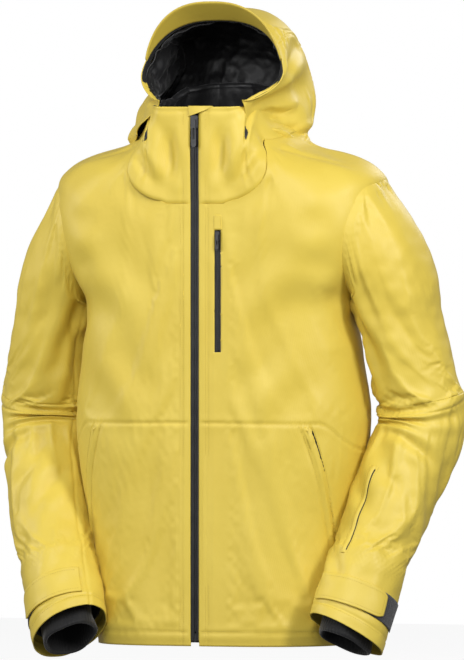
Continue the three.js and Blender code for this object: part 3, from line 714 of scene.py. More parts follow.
def pocket_relief(turn, z):
    """The welt stands up, its free edge shadows the slot, and the cloth puckers at the tack on top."""
    off, down = pocket_offset(turn, z)
    inside = smooth(down, -0.03, 0.02) * (1 - smooth(down, 0.98, 1.03))
    welt = -1.5 * smooth(off, -8, -5) * (1 - smooth(off, 5.5, 6.5))
    slot = 4.2 * bell(off - 8.5, 2.0) + 2.2 * bell(off + 8.5, 2.0)
    tack = 2.6 * np.exp(-((down / 0.06) ** 2) - (off / 16) ** 2) * np.sin(off * 0.8)
    return inside * (welt + slot) + tack


def shoulder_seam(points):
    """Distance from the seam that crosses each shoulder in front of its top."""
    x, y, z = np.moveaxis(points, -1, 0)
    off = (z - 789) + (np.abs(x) - 138) * 0.27
    return np.where((y < -8) & (np.abs(x) > 128), off, 99.0)


def free_of_armhole(points):
    """0 along the seam that holds each sleeve's head, and 1 a little way off it."""
    x, y, z = np.moveaxis(points, -1, 0)
    off = np.abs(np.hypot(y - 3, z - 660) - 101)
    return np.maximum(smooth(off, 4, 30), 1 - smooth(np.abs(x), 120, 170))


def make_body():
    grid, turned = body_grid(460, 280)
    normal = outward_normals(grid)
    edge = np.clip(smooth(np.abs(grid[..., 0]), ZIP_SHOW, ZIP_SHOW + 10) + (grid[..., 1] > 0), 0, 1)
    off = np.abs(grid[..., 0] - CHEST_X)
    slot = smooth(off, 4, 22) + smooth(np.abs(grid[..., 2] - 565), 95, 125) + (grid[..., 1] > 0)
    soft = np.clip(slot, 0.12, 1)
    depth = body_folds(grid) * soft + body_seams(grid)
    depth += pocket_relief(turned, grid[..., 2]) * (grid[..., 1] < 60)
    depth += groove(shoulder_seam(grid), 2.0, 1.3)
    coarse, _ = body_grid(150, 92, snap=False)
    sewn = bell(np.abs(coarse[..., 0]) - 8, 22) * (coarse[..., 1] < 0)
    sewn = np.maximum(sewn, bell(coarse[..., 0] - CHEST_X, 22) * (coarse[..., 1] < 0))
    sewn = np.maximum(sewn, bell(coarse[..., 2], 26))
    sewn = np.maximum(sewn, 0.4 * bell(coarse[..., 2] - WAIST_SEAM, 14))
    sewn = np.maximum(sewn, smooth(np.linspace(0, 1, 92), 0.95, 1)[:, None])
    move = settle(coarse, sewn, growth=0.002, swell=0.3, frames=14, limit=2.5)
    edge *= free_of_armhole(grid)
    grid = grid + finer(move, *grid.shape[:2]) * (soft * edge)[..., None]
    grid = grid - normal * (depth * edge)[..., None]
    # The hem turns in a little.
    grid[..., 1] *= 1 - 0.012 * (1 - smooth(grid[..., 2], 0, 16))
    rows, columns = grid.shape[:2]
    faces = grid_faces(rows, columns, False)
    flat = grid.reshape(-1, 3)
    middle = flat[faces].mean(axis=1)
    in_slot = (np.abs(middle[:, 0] - CHEST_X) < CHEST_SHOW) & (middle[:, 1] < 0)
    in_slot &= (middle[:, 2] > CHEST_LOW) & (middle[:, 2] < CHEST_HIGH)
    return cloth_piece("body_shell", grid, shell, faces=faces[~in_slot]), grid, normal


body_shell, body_points, body_normals = make_body()
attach(body_shell, "torso")
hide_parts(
    "front_lower_left",
    "front_lower_right",
    "front_upper_left",
    "front_upper_right",
    "back_panel",
    "back_yoke",
)
body_tree = tree_of(body_shell)

# ---- Sleeves ---------------------------------------------------------------------------------------------
ARM_X = 238
ARM_Z = 660
ARM_DEEP = 100
ARM_HIGH = 102
ELBOW = hem(JOINTS["left_elbow_bend"]["pos_m"])
CUFFS = {"left": np.array([246.0, -110.0, 22.0]), "right": np.array([211.0, -142.0, 22.0])}


def armhole(angle):
    """The armhole's edge on the body, wearer's left. angle runs from the front over the outside's top."""
    y = 3 - ARM_DEEP * np.cos(angle)
    z = ARM_Z + ARM_HIGH * np.sin(angle)
    half, back, square_front, square_back = np.moveaxis(body_section(z), -1, 0)
    front = y < 0
    square = np.where(front, square_front, square_back)
    deep = np.where(front, FRONT, back)
    share = (1 - np.clip(np.abs(y) / deep, 0, 1) ** square) ** (1 / square)
    x = np.where(front, FLAT_HALF + (half - FLAT_HALF) * share, half * share)
    return np.stack([x - 4.0, y, z], axis=-1)


def arm_line(name):
    """Points down the middle of an arm, from the armhole to the cuff, as a smooth curve, and its length."""
    cuff = CUFFS[name]
    inward = {"left": -13, "right": 4}[name]
    outward = {"left": 8, "right": 0}[name]
    knots = np.array(
        [
            (ARM_X, 3, ARM_Z),
            (266 + outward, 10, 614),
            (292, 22, 530),
            (311, 33, 440),
            ELBOW + (-4, 4, 0),
            mix(ELBOW, cuff, 0.3) + (inward, 5, 0),
            mix(ELBOW, cuff, 0.65) + (inward * 0.6, 0, 0),
            cuff,
        ]
    )
    at = np.concatenate([[0], np.cumsum(np.linalg.norm(np.diff(knots, axis=0), axis=1))])
    curve = through(np.column_stack([at, knots]))
    return curve(np.linspace(0, at[-1], 200)), at[-1]


# distance down the arm, radius across, radius front to back
arm_section = through(
    [
        (0, 100, 100),
        (50, 86, 94),
        (100, 75, 87),
        (150, 69, 80),
        (230, 69, 75),
        (300, 72, 73),
        (345, 71, 72),
        (400, 70, 70),
        (480, 68, 68),
        (560, 65, 65),
        (640, 63, 63),
        (720, 60, 60),
    ]
)
ARM_FOLDS = {
    # Angle round the sleeve in degrees from the front towards the outside, and distance down the arm.
    "left": [
        (-70, 318, 30, 330, 10, 8),
        (-75, 345, 18, 352, 9, 6.5),
        (-60, 300, 60, 292, 9, 5),
        (-30, 372, 60, 392, 10, 5),
        (-80, 275, -10, 296, 10, 6),
        (20, 322, 110, 300, 10, 4),
        (-60, 60, -20, 250, 14, 7),
        (-25, 40, -5, 170, 12, 5),
        (-75, 120, -45, 300, 12, 5),
        (10, 90, 45, 260, 16, 3),
        (-40, 400, 30, 470, 12, 4),
        (-70, 430, 0, 520, 12, 4),
        (0, 520, 60, 590, 14, 3),
        (-60, 560, -10, 640, 12, 3.5),
        (60, 420, 120, 520, 14, 3),
    ],
    "right": [
        (-70, 322, 40, 330, 10, 8),
        (-60, 350, 50, 356, 10, 6),
        (-80, 300, 20, 296, 9, 6),
        (-10, 376, 80, 392, 10, 5),
        (-60, 70, -25, 260, 14, 7),
        (-20, 40, 0, 180, 12, 5),
        (-70, 140, -45, 300, 12, 5),
        (15, 100, 50, 250, 16, 3),
        (-30, 405, 35, 470, 12, 4),
        (-60, 440, 10, 530, 12, 4),
        (10, 530, 60, 600, 14, 3),
        (-50, 570, -10, 650, 12, 3),
    ],
}
CROSS_SEAM = 296  # distance down the arm of the seam above the elbow
CUFF_SLANT = 15
ARM_COARSE = 3  # every third row of the sleeve takes part in its cloth run


def arm_grid(name, columns, rows):
    """The sleeve as a grid in hem millimetres, for its own side, and how far down the arm each row is."""
    line, length = arm_line(name)
    share = np.linspace(0, 1, rows)
    at = np.stack([np.interp(share, np.linspace(0, 1, 200), line[:, k]) for k in range(3)], axis=-1)
    along = unit(np.gradient(at, axis=0))
    out = unit(np.cross(np.array([0, -1.0, 0]), along))
    front = np.cross(along, out)
    angle = np.linspace(0, 2 * math.pi, columns, endpoint=False)
    distance = share * length
    across, deep = np.moveaxis(arm_section(distance * 720 / length), -1, 0)
    ring = (
        at[:, None]
        + out[:, None] * (across[:, None] * np.sin(angle))[..., None]
        + front[:, None] * (deep[:, None] * np.cos(angle))[..., None]
    )
    # The head of the sleeve grows out of the armhole's edge.
    edge = armhole(angle)
    head = smooth(distance, 0, 120)[:, None, None]
    started = edge[None] + (at - at[0])[:, None]
    ring = mix(started, ring, head)
    return ring, angle, distance, length


def arm_folds(name, grid, angle, distance):
    degrees = (np.degrees(angle) + 180) % 360 - 180
    a, d = np.meshgrid(degrees, distance)
    depth = strokes(a * 1.2, d, [(r[0] * 1.2, r[1], r[2] * 1.2, r[3], r[4], r[5]) for r in ARM_FOLDS[name]])
    wide = smooth(distance, 20, 90)[:, None]
    depth += wide * 2.2 * ripple(grid, 11 + len(name), 120)
    depth += wide * 0.4 * ripple(grid, 23 + len(name), 60, 2)
    # The seam above the elbow, the seam down the front of the sleeve, and the cuff's stitching.
    depth += groove(d - CROSS_SEAM - 10 * np.cos(np.radians(a)), 2.2, 1.6, 1.4)
    depth += groove((a + 62) * 1.2, 2.2, 1.2) * smooth(d, 60, 120)
    depth += groove(d - distance[-1] + 20, 1.6, 1.0)
    return depth


def make_sleeve(name, side):
    grid, angle, distance, length = arm_grid(name, 200, 420)
    middle = grid.mean(axis=1, keepdims=True)
    outward = unit(grid - middle)
    normal = normals_of(grid, True)
    normal *= np.sign(np.sum(normal * outward, axis=-1, keepdims=True))
    depth = arm_folds(name, grid, angle, distance)
    coarse = grid[:: ARM_COARSE, ::2]
    far = distance[:: ARM_COARSE][:, None]
    sewn = 1 - smooth(far, 0, 40) + smooth(far, length - 150, length - 90)
    sewn = np.broadcast_to(sewn + 0.6 * bell(far - CROSS_SEAM, 12), coarse.shape[:2])
    move = settle(coarse, np.clip(sewn, 0, 1), growth=0.013, swell=0.5, frames=16, limit=6, wrap=True)
    held = smooth(distance, 0, 24)[:, None]
    grid = grid + finer(move, *grid.shape[:2], wrap=True) * held[..., None]
    grid = grid - normal * (depth * held)[..., None]
    # The cuff is longer over the back of the hand.
    low = smooth(distance, length - 110, length)[:, None]
    grid[..., 2] -= low * CUFF_SLANT * np.sin(angle)
    grid[..., 0] *= side
    return grid, angle, distance, length


def cut_sleeve(grid, distance, low, high):
    keep = (distance >= low - 1e-6) & (distance <= high + 1e-6)
    return grid[keep]


sleeves = {}
for name, side in (("left", 1), ("right", -1)):
    grid, angle, distance, length = make_sleeve(name, side)
    split = distance[np.searchsorted(distance, CROSS_SEAM - 12)]
    cloth = [cut_sleeve(grid, distance, *ends) for ends in ((0, split), (split, length))]
    upper, lower = (
        cloth_piece(f"{name}_{part}_shell", piece, shell, wrap=True, inside=piece.mean(axis=(0, 1)))
        for part, piece in zip(("upper_sleeve", "forearm"), cloth)
    )
    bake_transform(upper)
    bend = [hem(JOINTS[f"{name}_elbow_bend"]["pos_m"]) + (0, dy, dz) for dy, dz in ((0, 46), (-14, -46))]
    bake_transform(lower)
    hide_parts(f"{name}_upper_sleeve")
    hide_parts(f"{name}_forearm")
    sleeves[name] = {
        "side": side,
        "grid": grid,
        "angle": angle,
        "distance": distance,
        "length": length,
        "upper": upper,
        "lower": lower,
        "bend": bend,
        "normal": outward_normals(grid, True, grid.mean(axis=1, keepdims=True)),
    }


# ---- What is sewn onto and into the sleeves --------------------------------------------------------------
def sleeve_at(name, angle, up, out=0.0):
    """Points on a finished sleeve. angle is in degrees from the front towards the outside, up in mm from the
    cuff's edge, and out in mm off the surface."""
    s = sleeves[name]
    rows, columns = s["grid"].shape[:2]
    angle, up, out = np.broadcast_arrays(*(np.asarray(v, float) for v in (angle, up, out)))
    r = np.clip((1 - up / s["length"]) * (rows - 1), 0, rows - 1.001)
    c = np.mod(angle, 360) / 360 * columns
    r0, c0 = r.astype(int), c.astype(int) % columns
    tr, tc = (r - r0)[..., None], (c - np.floor(c))[..., None]
    c1 = (c0 + 1) % columns

    def read(values):
        high = mix(values[r0, c0], values[r0, c1], tc)
        return mix(high, mix(values[r0 + 1, c0], values[r0 + 1, c1], tc), tr)

    return read(s["grid"]) + unit(read(s["normal"])) * out[..., None]


STRAP_ROOT, STRAP_TIP = -50, 62  # degrees
LOOP_TO = 106


def ride_forearm(piece, name):
    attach(piece, f"{name}_forearm")


def make_strap(name):
    """The cuff's strap: stitched down at its root, it narrows to a tip with rounded corners."""
    share = np.linspace(0, 1, 70)
    angle = mix(STRAP_ROOT, STRAP_TIP, share)
    rounding = 5 * smooth(share, 0.93, 1) ** 2
    low = mix(25, 36, share) + rounding
    high = mix(77, 73, share) - rounding
    up = mix(low[None], high[None], np.linspace(0, 1, 26)[:, None])
    grid = calm(sleeve_at(name, angle[None], up, 3.4 + 1.4 * share[None]), 16)
    inside = grid.mean(axis=(0, 1)) + (sleeve_at(name, 190, 50) - sleeve_at(name, 10, 50)) * 0.5
    strap = cloth_piece(f"{name}_strap", grid, shell, thick=2.0, inside=inside)
    root = [tuple(row(sleeve_at(name, STRAP_ROOT + turn, 50, 3))) for turn in (2, 26)]
    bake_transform(strap)
    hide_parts(f"{name}_cuff_strap")
    tree = tree_of(strap)
    edge = np.concatenate([grid[3, 3:-4], grid[3:-3, -4], grid[-4, -4:3:-1]])
    stitches = stitch_line(f"{name}_strap_stitches", edge, tree, thread)
    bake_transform(stitches)


def make_loop_patch(name):
    angle = np.linspace(STRAP_TIP - 30, LOOP_TO, 40)
    up = np.linspace(33, 73, 20)
    grid = calm(sleeve_at(name, angle[None], up[:, None], 2.0), 16)
    inside = grid.mean(axis=(0, 1)) + (sleeve_at(name, 250, 50) - sleeve_at(name, 70, 50)) * 0.5
    patch = cloth_piece(f"{name}_loop_patch", grid, pile, thick=1.2, inside=inside)
    ride_forearm(patch, name)
    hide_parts(f"{name}_cuff_loop_patch")


def make_gaiter(name):
    """A ribbed knit tube inside the cuff. Its end is turned in on itself."""
    s = sleeves[name]
    rows = len(s["grid"])
    end, before = (s["grid"][k].mean(axis=0) for k in (rows - 1, rows - 60))
    along = unit(end - before)
    out = unit(np.cross(np.array([0, -1.0, 0]), along)) * s["side"]
    front = np.cross(along, out) * s["side"]
    angle = np.linspace(0, 2 * math.pi, 240, endpoint=False)
    outer = [(d, 44 + 1.5 * math.sin(d / 17)) for d in np.linspace(-92, 12, 44)]
    turned_in = [(14.5, 43.5), (15.5, 41.5), (14.5, 39.5)]
    inner = [(d, 39.5) for d in np.linspace(11, -70, 24)]
    grid = []
    for d, radius in outer + turned_in + inner:
        ribs = 0.15 * np.cos(angle * 46)
        soft = 1.6 * np.sin(angle * 3 + d / 26 + s["side"]) + 1.2 * np.sin(angle * 5 - d / 15)
        slant = 7 * np.sin(angle) * smooth(d, -40, 20)
        around = radius + ribs + soft
        sideways = out * (around * np.sin(angle))[:, None]
        forwards = front * (around * 0.93 * np.cos(angle))[:, None]
        grid.append(end + along * (d + slant)[:, None] + (sideways + forwards))
    gaiter = mesh_object(f"{name}_gaiter", row(np.array(grid)), grid_faces(len(grid), 240, True), knit)
    ride_forearm(gaiter, name)
    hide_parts(f"{name}_wrist_gaiter")


def make_sleeve_lining(name):
    """Padded black lining, from a hand's width below the elbow's fold to the cloth that finishes the inside of
    the cuff.
    """
    up = np.linspace(30, 300, 60)
    angle = np.linspace(0, 360, 90, endpoint=False)
    grid = sleeve_at(name, angle[None], up[:, None], -6.5)
    soft = 1.2 * ripple(grid, 61, 50)
    grid = sleeve_at(name, angle[None], up[:, None], -6.5 + soft)
    lining = cloth_piece(f"{name}_sleeve_lining", grid, black, True, 1.5, grid.mean(axis=(0, 1)))
    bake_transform(lining)
    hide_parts(f"{name}_forearm_lining")


PASS_ANGLE = -22
PASS_LOW, PASS_HIGH = 112, 264


def make_pass_pocket():
    """The small welt pocket down the front of the left forearm, with its zip's edge just showing."""
    up = np.linspace(PASS_LOW, PASS_HIGH, 90)
    across = np.linspace(-3.8, 3.8, 12)
    grid = sleeve_at("left", PASS_ANGLE + across[None], up[:, None], 1.5 - 0.09 * across[None] ** 2)
    inside = sleeve_at("left", PASS_ANGLE, 180) * 0.5 + sleeve_at("left", PASS_ANGLE + 180, 180) * 0.5
    welt = cloth_piece("left_pass_welt", grid, shell, thick=1.2, inside=inside)
    tape = sleeve_at("left", PASS_ANGLE + np.linspace(3.4, 5.4, 4)[None], up[3:-3, None], 0.25)
    zip_edge = cloth_piece("left_pass_zip", tape, tape_black, thick=0.6, inside=inside)
    tree = tree_of(sleeves["left"]["lower"])
    lines = [
        stitch_line(f"left_pass_stitches_{k}", sleeve_at("left", PASS_ANGLE + a, up), tree, thread)
        for k, a in enumerate((-6.2, 7.4))
    ]
    for piece in (welt, zip_edge, *lines):
        ride_forearm(piece, "left")
    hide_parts("left_pass_pocket_welt")


def stitch_sleeve(name):
    """Stitches round the cuff and beside the cross seam."""
    around = np.linspace(0, 360, 200)
    lower, upper = (tree_of(sleeves[name][k]) for k in ("lower", "upper"))
    cuff = stitch_line(f"{name}_cuff_stitches", sleeve_at(name, around, 17), lower, thread)
    ride_forearm(cuff, name)
    high = sleeves[name]["length"] - CROSS_SEAM - 10 * np.cos(np.radians(around)) + 16
    cross = stitch_line(f"{name}_cross_stitches", sleeve_at(name, around, high), upper, thread)
    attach(cross, f"{name}_upper_sleeve")


for name in sleeves:
    make_strap(name)
    make_loop_patch(name)
    make_gaiter(name)
    make_sleeve_lining(name)
    stitch_sleeve(name)
make_pass_pocket()

# ---- Collar ----------------------------------------------------------------------------------------------
COLLAR_TOP = 858
COLLAR_HALF = 92
COLLAR_MID_HALF = 106
COLLAR_BACK = 74


def collar_at(turn, share):
    turn, share = np.broadcast_arrays(np.asarray(turn, float), np.asarray(share, float))
    low = body_at(turn, neck_seam(turn) - 1.0)
    away = np.where(turn > 180, 360 - turn, turn)
    side = np.where(turn > 180, -1.0, 1.0)
    angle = np.radians(np.where(away <= 90, np.clip((away - FLAT_TURN) * 90 / 75, 0, 90), away))
    square = 2 / 2.3

    def level(half, back, height, lean=0.0):
        bowed = FLAT_HALF + (half - FLAT_HALF) * signed_power(np.sin(angle), square)
        wide = np.where(away <= 90, bowed, half * np.sin(angle))
        wide = np.where(away < FLAT_TURN, FLAT_HALF * away / FLAT_TURN, wide)
        deep = np.where(
            away <= 90, -(FRONT + lean) * signed_power(np.cos(angle), square), -back * np.cos(angle)
        )
        return np.stack([side * wide, deep, height], axis=-1)

    rise = 12 * (1 - np.cos(np.radians(turn))) / 2
    mid = level(COLLAR_MID_HALF, COLLAR_BACK, (low[..., 2] + COLLAR_TOP + rise) / 2, 3)
    top = level(COLLAR_HALF, COLLAR_BACK, COLLAR_TOP + rise, 0)
    s = share[..., None]
    return low * (1 - s) ** 2 + mid * 2 * s * (1 - s) + top * s**2


COLLAR_FOLDS = [
    (34, 838, 56, 712, 11, 4.0),
    (-34, 838, -54, 712, 11, 4.0),
    (62, 846, 30, 740, 12, 4.0),
    (-64, 846, -30, 742, 12, 4.0),
    (104, 800, 60, 722, 10, 4.5),
    (-104, 795, -62, 722, 10, 4.5),
]
COLLAR_SEAMS = [(84, 872, 84, 789, 2.4, 3.2), (84, 792, 83, 763, 2.4, 3.2), (83, 766, 98, 730, 2.4, 3.2)]


def make_collar():
    turns = np.linspace(EDGE_TURN, 360 - EDGE_TURN, 300)
    share = np.linspace(0, 1, 70)
    grid = collar_at(turns[None], share[:, None])
    normal = normals_of(grid, False)
    normal *= np.sign(np.sum(normal[..., :2] * grid[..., :2], axis=-1, keepdims=True))
    x, y, z = np.moveaxis(grid, -1, 0)
    depth = smooth(-y, -20, 50) * strokes(x, z, COLLAR_FOLDS) + 1.6 * ripple(grid, 31, 90)
    depth += smooth(-y, -20, 50) * strokes(np.abs(x), z, COLLAR_SEAMS)
    depth += groove(np.abs(x) - PLACKET, 1.6, 1.1) * (y < 0)
    depth += groove((1 - share[:, None]) * 150 - 7, 1.6, 0.9)
    depth += groove(share[:, None] * 150, 3, 2.2)
    edge = np.clip(smooth(np.abs(x), ZIP_SHOW, ZIP_SHOW + 10) + (y > 0), 0, 1)
    grid = grid - normal * (depth * edge)[..., None]
    outer = cloth_piece("collar_shell", grid, shell)
    lining = cubic(grid, np.linspace(0.04, 0.985, 60) * (len(share) - 1))
    back = smooth(np.minimum(turns, 360 - turns), 60, 130)[None]
    upper = np.linspace(0, 1, 60)[:, None]
    puffs = 2.5 * ripple(lining, 37, 60) + 5 * (np.abs(np.sin(np.radians(turns) * 4.5)))[None]
    roll = 16 * back * smooth(upper, 0.45, 1)
    lining = lining - normal[5:65] * (4.0 + puffs + 0.5 * roll)[..., None]
    lining[..., 2] += roll * 1.5
    over = lining[-1:] + normal[64:65] * np.array([4, 9, 13])[:, None, None] * (0.3 + 0.7 * back[..., None])
    over[..., 2] += back * np.array([[2.0], [0.0], [-6.0]])
    lining = np.concatenate([lining, over])
    inner = cloth_piece("collar_lining_shell", lining, black, thick=2)
    return outer, inner


collar_shell, collar_inner = make_collar()
for piece, replaced in (
    (collar_shell, ["collar_left", "collar_right", "collar_back"]),
    (collar_inner, ["collar_lining_left", "collar_lining_right"]),
):
    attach(piece, "torso")
    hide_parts(*replaced)

# ---- Hood ------------------------------------------------------------------------------------------------
JAW = np.array([112.0, -112.0, 800.0])
# turn of the arch from straight back, how much it bulges to the side, how far its middle reaches
hood_arch = through(
    [
        (-6, 92, 196),
        (5, 112, 206),
        (18, 110, 248),
        (35, 64, 282),
        (50, 54, 280),
        (62, 52, 246),
        (72, 52, 208),
    ]
)
HOOD_RIM = 72
HOOD_SEAMS = (52, 128)  # degrees up the arches, either side of the crown
HOOD_LEAN = (-9, 8)  # how far the hood stands towards the wearer's left, low down and high up
# Where the hood's front is sewn to the collar: degrees round and share of the collar's height, low and high.
JOIN_LOW = (47, 0.2)
JOIN_HIGH = (27, 0.985)


def joined_edge(turn):
    """The hood's front edge on the collar, wearer's left, for each arch."""
    t = smooth(turn, 2, HOOD_RIM)
    around, share = (mix(low, high, t) for low, high in zip(JOIN_LOW, JOIN_HIGH))
    return collar_at(around, share) + np.array([1.5, -2.5, 0.5])


def hood_at(up, turn):
    """The hood's surface. up runs over each arch from the wearer's left jaw to the right, and turn runs from
    the neck to the rim."""
    up, turn = np.broadcast_arrays(np.asarray(up, float), np.asarray(turn, float))
    bulge, high = np.moveaxis(hood_arch(turn), -1, 0)
    sine, cosine = np.sin(np.radians(up)), np.cos(np.radians(up))
    reach = high * sine
    side = np.where(up < 90, 1.0, -1.0)
    x = (JAW[0] + bulge * sine) * signed_power(cosine, 0.8)
    y = JAW[1] + reach * np.cos(np.radians(turn))
    z = JAW[2] + reach * np.sin(np.radians(turn))
    lean = mix(mix(*HOOD_LEAN, smooth(z, 850, 930)), HOOD_LEAN[1], smooth(turn, 30, 60))
    free = np.stack([x + lean, y, z], axis=-1)
    sewn = joined_edge(turn) - JAW
    sewn[..., 0] *= side
    away = np.minimum(up, 180 - up)
    level = 1 - smooth(away, 5, 36)
    rise = (1 - np.clip((away - 3) / 32, 0, 1)) ** 2.2
    return free + sewn * np.stack([level, level, rise], axis=-1)


HOOD_FOLDS = [
    # degrees up the arch, arch's turn, and back; half width in degrees, depth in mm
    (14, 60, 40, 30, 5, 5),
    (22, 66, 60, 40, 5, 4),
    (10, 40, 30, 5, 5, 6),
    (30, 20, 60, 0, 6, 5),
    (166, 60, 140, 30, 5, 5),
    (170, 40, 150, 5, 5, 6),
    (158, 66, 120, 40, 5, 4),
    (150, 20, 120, 0, 6, 5),
    (70, 10, 110, 12, 5, 4),
    (4, 30, 26, 9, 3.2, 8),
    (22, 10, 48, 5, 3.2, 7),
    (8, 52, 34, 34, 4, 5),
    (10, 64, 40, 58, 4, 4),
]


HOOD_MIDDLE = np.array([0.0, -20, 850])


def make_hood():
    ups = np.linspace(3, 177, 280)
    turns = np.linspace(-5, HOOD_RIM, 170)
    grid = hood_at(ups[None], turns[:, None])
    outward = unit(grid - HOOD_MIDDLE)
    normal = normals_of(grid, False)
    normal *= np.sign(np.sum(normal * outward, axis=-1, keepdims=True))
    u, t = np.meshgrid(ups, turns)
    depth = strokes(u, t, HOOD_FOLDS) + 2.2 * ripple(grid, 41, 130, 2)
    for seam in HOOD_SEAMS:
        depth += groove((u - seam) * 4.2, 2.4, 1.6, 1.3)
    depth += groove((HOOD_RIM - t) * 4.2 - 26, 1.8, 1.0)
    still = smooth(HOOD_RIM - t, 0, 3) * smooth(np.minimum(u, 180 - u), 4, 12)
    coarse = grid[::2, ::3]
    sewn = 1 - smooth(np.minimum(u, 180 - u), 5, 20) + 1 - smooth(HOOD_RIM - t, 2, 9) + 1 - smooth(t, -4, 6)
    sewn += sum(0.6 * bell(u - seam, 4) for seam in HOOD_SEAMS)
    move = settle(coarse, np.clip(sewn[::2, ::3], 0, 1), growth=0.01, swell=0.5, frames=14, limit=4)
    grid = grid + finer(move, *grid.shape[:2]) * still[..., None]
    grid = grid - normal * (depth * still)[..., None]
    outer = cloth_piece("hood_shell", grid, shell, inside=HOOD_MIDDLE)
    lining_ups = np.linspace(9, 171, 260)
    lining_turns = np.linspace(-4, HOOD_RIM - 1.5, 120)
    r = (lining_turns + 5) / (HOOD_RIM + 5) * (len(turns) - 1)
    c = (lining_ups - 3) / 174 * (len(ups) - 1)
    lining = np.swapaxes(cubic(np.swapaxes(cubic(grid, r), 0, 1), c), 0, 1)
    inward = unit(HOOD_MIDDLE - lining)
    puffs = 4 * ripple(lining, 43, 90) + 2 * ripple(lining, 47, 40)
    puffs += sum(3 * bell(lining_ups - seam, 2) for seam in HOOD_SEAMS)
    deep = 6 + 5 * smooth(HOOD_RIM - lining_turns, 0, 14)[:, None] + puffs
    # It lies close to the shell low down, where the shell's edge is sewn to the collar.
    deep *= mix(0.4, 1, smooth(np.minimum(lining_ups, 180 - lining_ups), 9, 28))
    lining = lining + inward * deep[..., None]
    inner = cloth_piece("hood_lining_shell", lining, black, thick=2, inside=HOOD_MIDDLE)
    band_ups = np.linspace(20, 160, 200)
    band = hood_at(band_ups[None], np.linspace(HOOD_RIM + 0.4, HOOD_RIM - 2.6, 8)[:, None])
    band = band + unit(HOOD_MIDDLE - band) * np.array([1.9, 3, 4.2, 5.2, 6, 6.6, 7, 7.2])[:, None, None]
    tape = cloth_piece("hood_tape", band, tape_black, thick=0.8, inside=HOOD_MIDDLE)
    return outer, inner, tape


BRIM_FROM = 42  # degrees up the arches where the brim starts


def brim_grid(inset, rows):
    """The stiffened front edge: it flares forward and up from the rim, most in the middle."""
    ups = np.linspace(BRIM_FROM, 180 - BRIM_FROM, 240)
    out = np.linspace(0, 1, rows)
    middle = np.clip(np.sin(math.pi * np.linspace(0, 1, 240)), 0, 1) ** 0.8
    reach = 1 + out[:, None] * 43 * (0.05 + 0.95 * middle)[None]
    rim = hood_at(ups[None], np.full((rows, 1), float(HOOD_RIM)))
    rise = math.radians(40)
    way = np.array([0, -math.cos(rise), math.sin(rise)])
    outward = unit(rim - np.array([0, rim[..., 1].mean(), 860]))
    return rim + way * reach[..., None] - outward * inset


def make_brim():
    top = brim_grid(0, 14)
    under = brim_grid(3.2, 14)[::-1]
    edge = (top[-1] + under[0]) / 2 + np.array([0, -1.2, 1.0])
    grid = np.concatenate([top, edge[None], under])
    # The brim is cut from the darker copy of the shell cloth, which paints in the shade under the brim.
    return cloth_piece("hood_brim_shell", grid, painted_shade_brim, thick=0.8, inside=grid.mean(axis=(0, 1)))


hood_shell, hood_inner, hood_tape = make_hood()
hood_brim = make_brim()
for piece in (hood_shell, hood_inner):
    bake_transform(piece)
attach(hood_brim, "hood")
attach(hood_tape, "hood")
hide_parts("hood_side_left", "hood_side_right", "hood_crown", "hood_neck_band")
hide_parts("hood_lining")
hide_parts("hood_brim")

# ---- Linings, zips and trim on the body ------------------------------------------------------------------
def on_torso(piece, *replaced, slot=None):
    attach(piece, "torso")
    if replaced:
        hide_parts(*replaced)
    return piece


def make_body_lining():
    """Quilted black lining, padded between level rows of stitching."""
    grid, normal = body_points[::2, ::2], body_normals[::2, ::2]
    z = grid[..., 2]
    quilt = 4.5 * np.abs(np.sin(z * math.pi / 85)) ** 0.6 + 1.5 * ripple(grid, 71, 70)
    near_zip = 1 - smooth(np.abs(grid[..., 0]), 10, 40)
    grid = grid - normal * (9 + quilt * (1 - near_zip))[..., None]
    grid[..., 2] = np.maximum(grid[..., 2], 5)
    lining = cloth_piece("body_lining", grid, black, thick=2)
    on_torso(lining, "body_lining_left", "body_lining_right", "body_lining_back", slot="lining")


SKIRT_LOW, SKIRT_TOP = 40, 170
SKIRT_START = 20  # degrees from the centre front


def make_powder_skirt():
    """A band of thin cloth sewn round inside the waist, gathered by the elastic in its lower edge."""
    turns = even_turns(110, SKIRT_START, 300)
    down = np.linspace(0, 1, 40)[:, None]
    top = body_at(turns, 110)
    way = unit(top * (1, 1, 0))
    theta = np.linspace(0, 1, 300)[None]
    gather = 2.6 * np.sin(theta * 2 * math.pi * 46) * smooth(down, 0.3, 1)
    inset = 24 + 9 * np.sin(down * math.pi) + gather
    grid = top[None] - way[None] * inset[..., None]
    grid[..., 2] = SKIRT_TOP - (SKIRT_TOP - SKIRT_LOW) * down
    skirt = cloth_piece("powder_skirt_cloth", grid, black, thick=1.0)
    on_torso(skirt, "powder_skirt", slot="lining")


def make_storm_flap():
    """The padded flap behind the main zip."""
    x = np.linspace(-30, 30, 24)[None]
    z = np.linspace(8, 846, 240)[:, None]
    quilt = 1.6 * np.abs(np.sin(z * math.pi / 85)) * np.cos(x / 30 * math.pi / 2)
    y = -(FRONT - 13.5) - quilt + 0.003 * x**2
    grid = np.stack(np.broadcast_arrays(x, y, z), axis=-1)
    flap = cloth_piece("storm_flap_cloth", grid, black, thick=2)
    on_torso(flap, "storm_flap", slot="lining")


def make_tape(name, replaced, middle, side, wide, low, high, slit):
    """One side of a zip's coated tape. Its inner edge rolls in towards the teeth."""
    across = np.array([slit, slit + 0.25, slit + 1.0, slit + 2.4, slit + 3.2, slit + 4.0, wide * 0.7, wide])
    back = np.array([1.5, 0.5, 0.05, 0.0, 0.35, 0.0, 0.1, 0.3])
    z = np.linspace(low, high, int((high - low) / 3))
    sway = 0.12 * np.sin(z / 7.0)[:, None]
    x = middle + side * np.broadcast_to(across, (len(z), len(across)))
    y = np.broadcast_to(-(FRONT - 2.2) + back, x.shape) + sway
    grid = np.stack([x, y, np.broadcast_to(z[:, None], x.shape)], axis=-1)
    on_torso(cloth_piece(name, grid, coated_tape, thick=0.8), replaced, slot="zip")


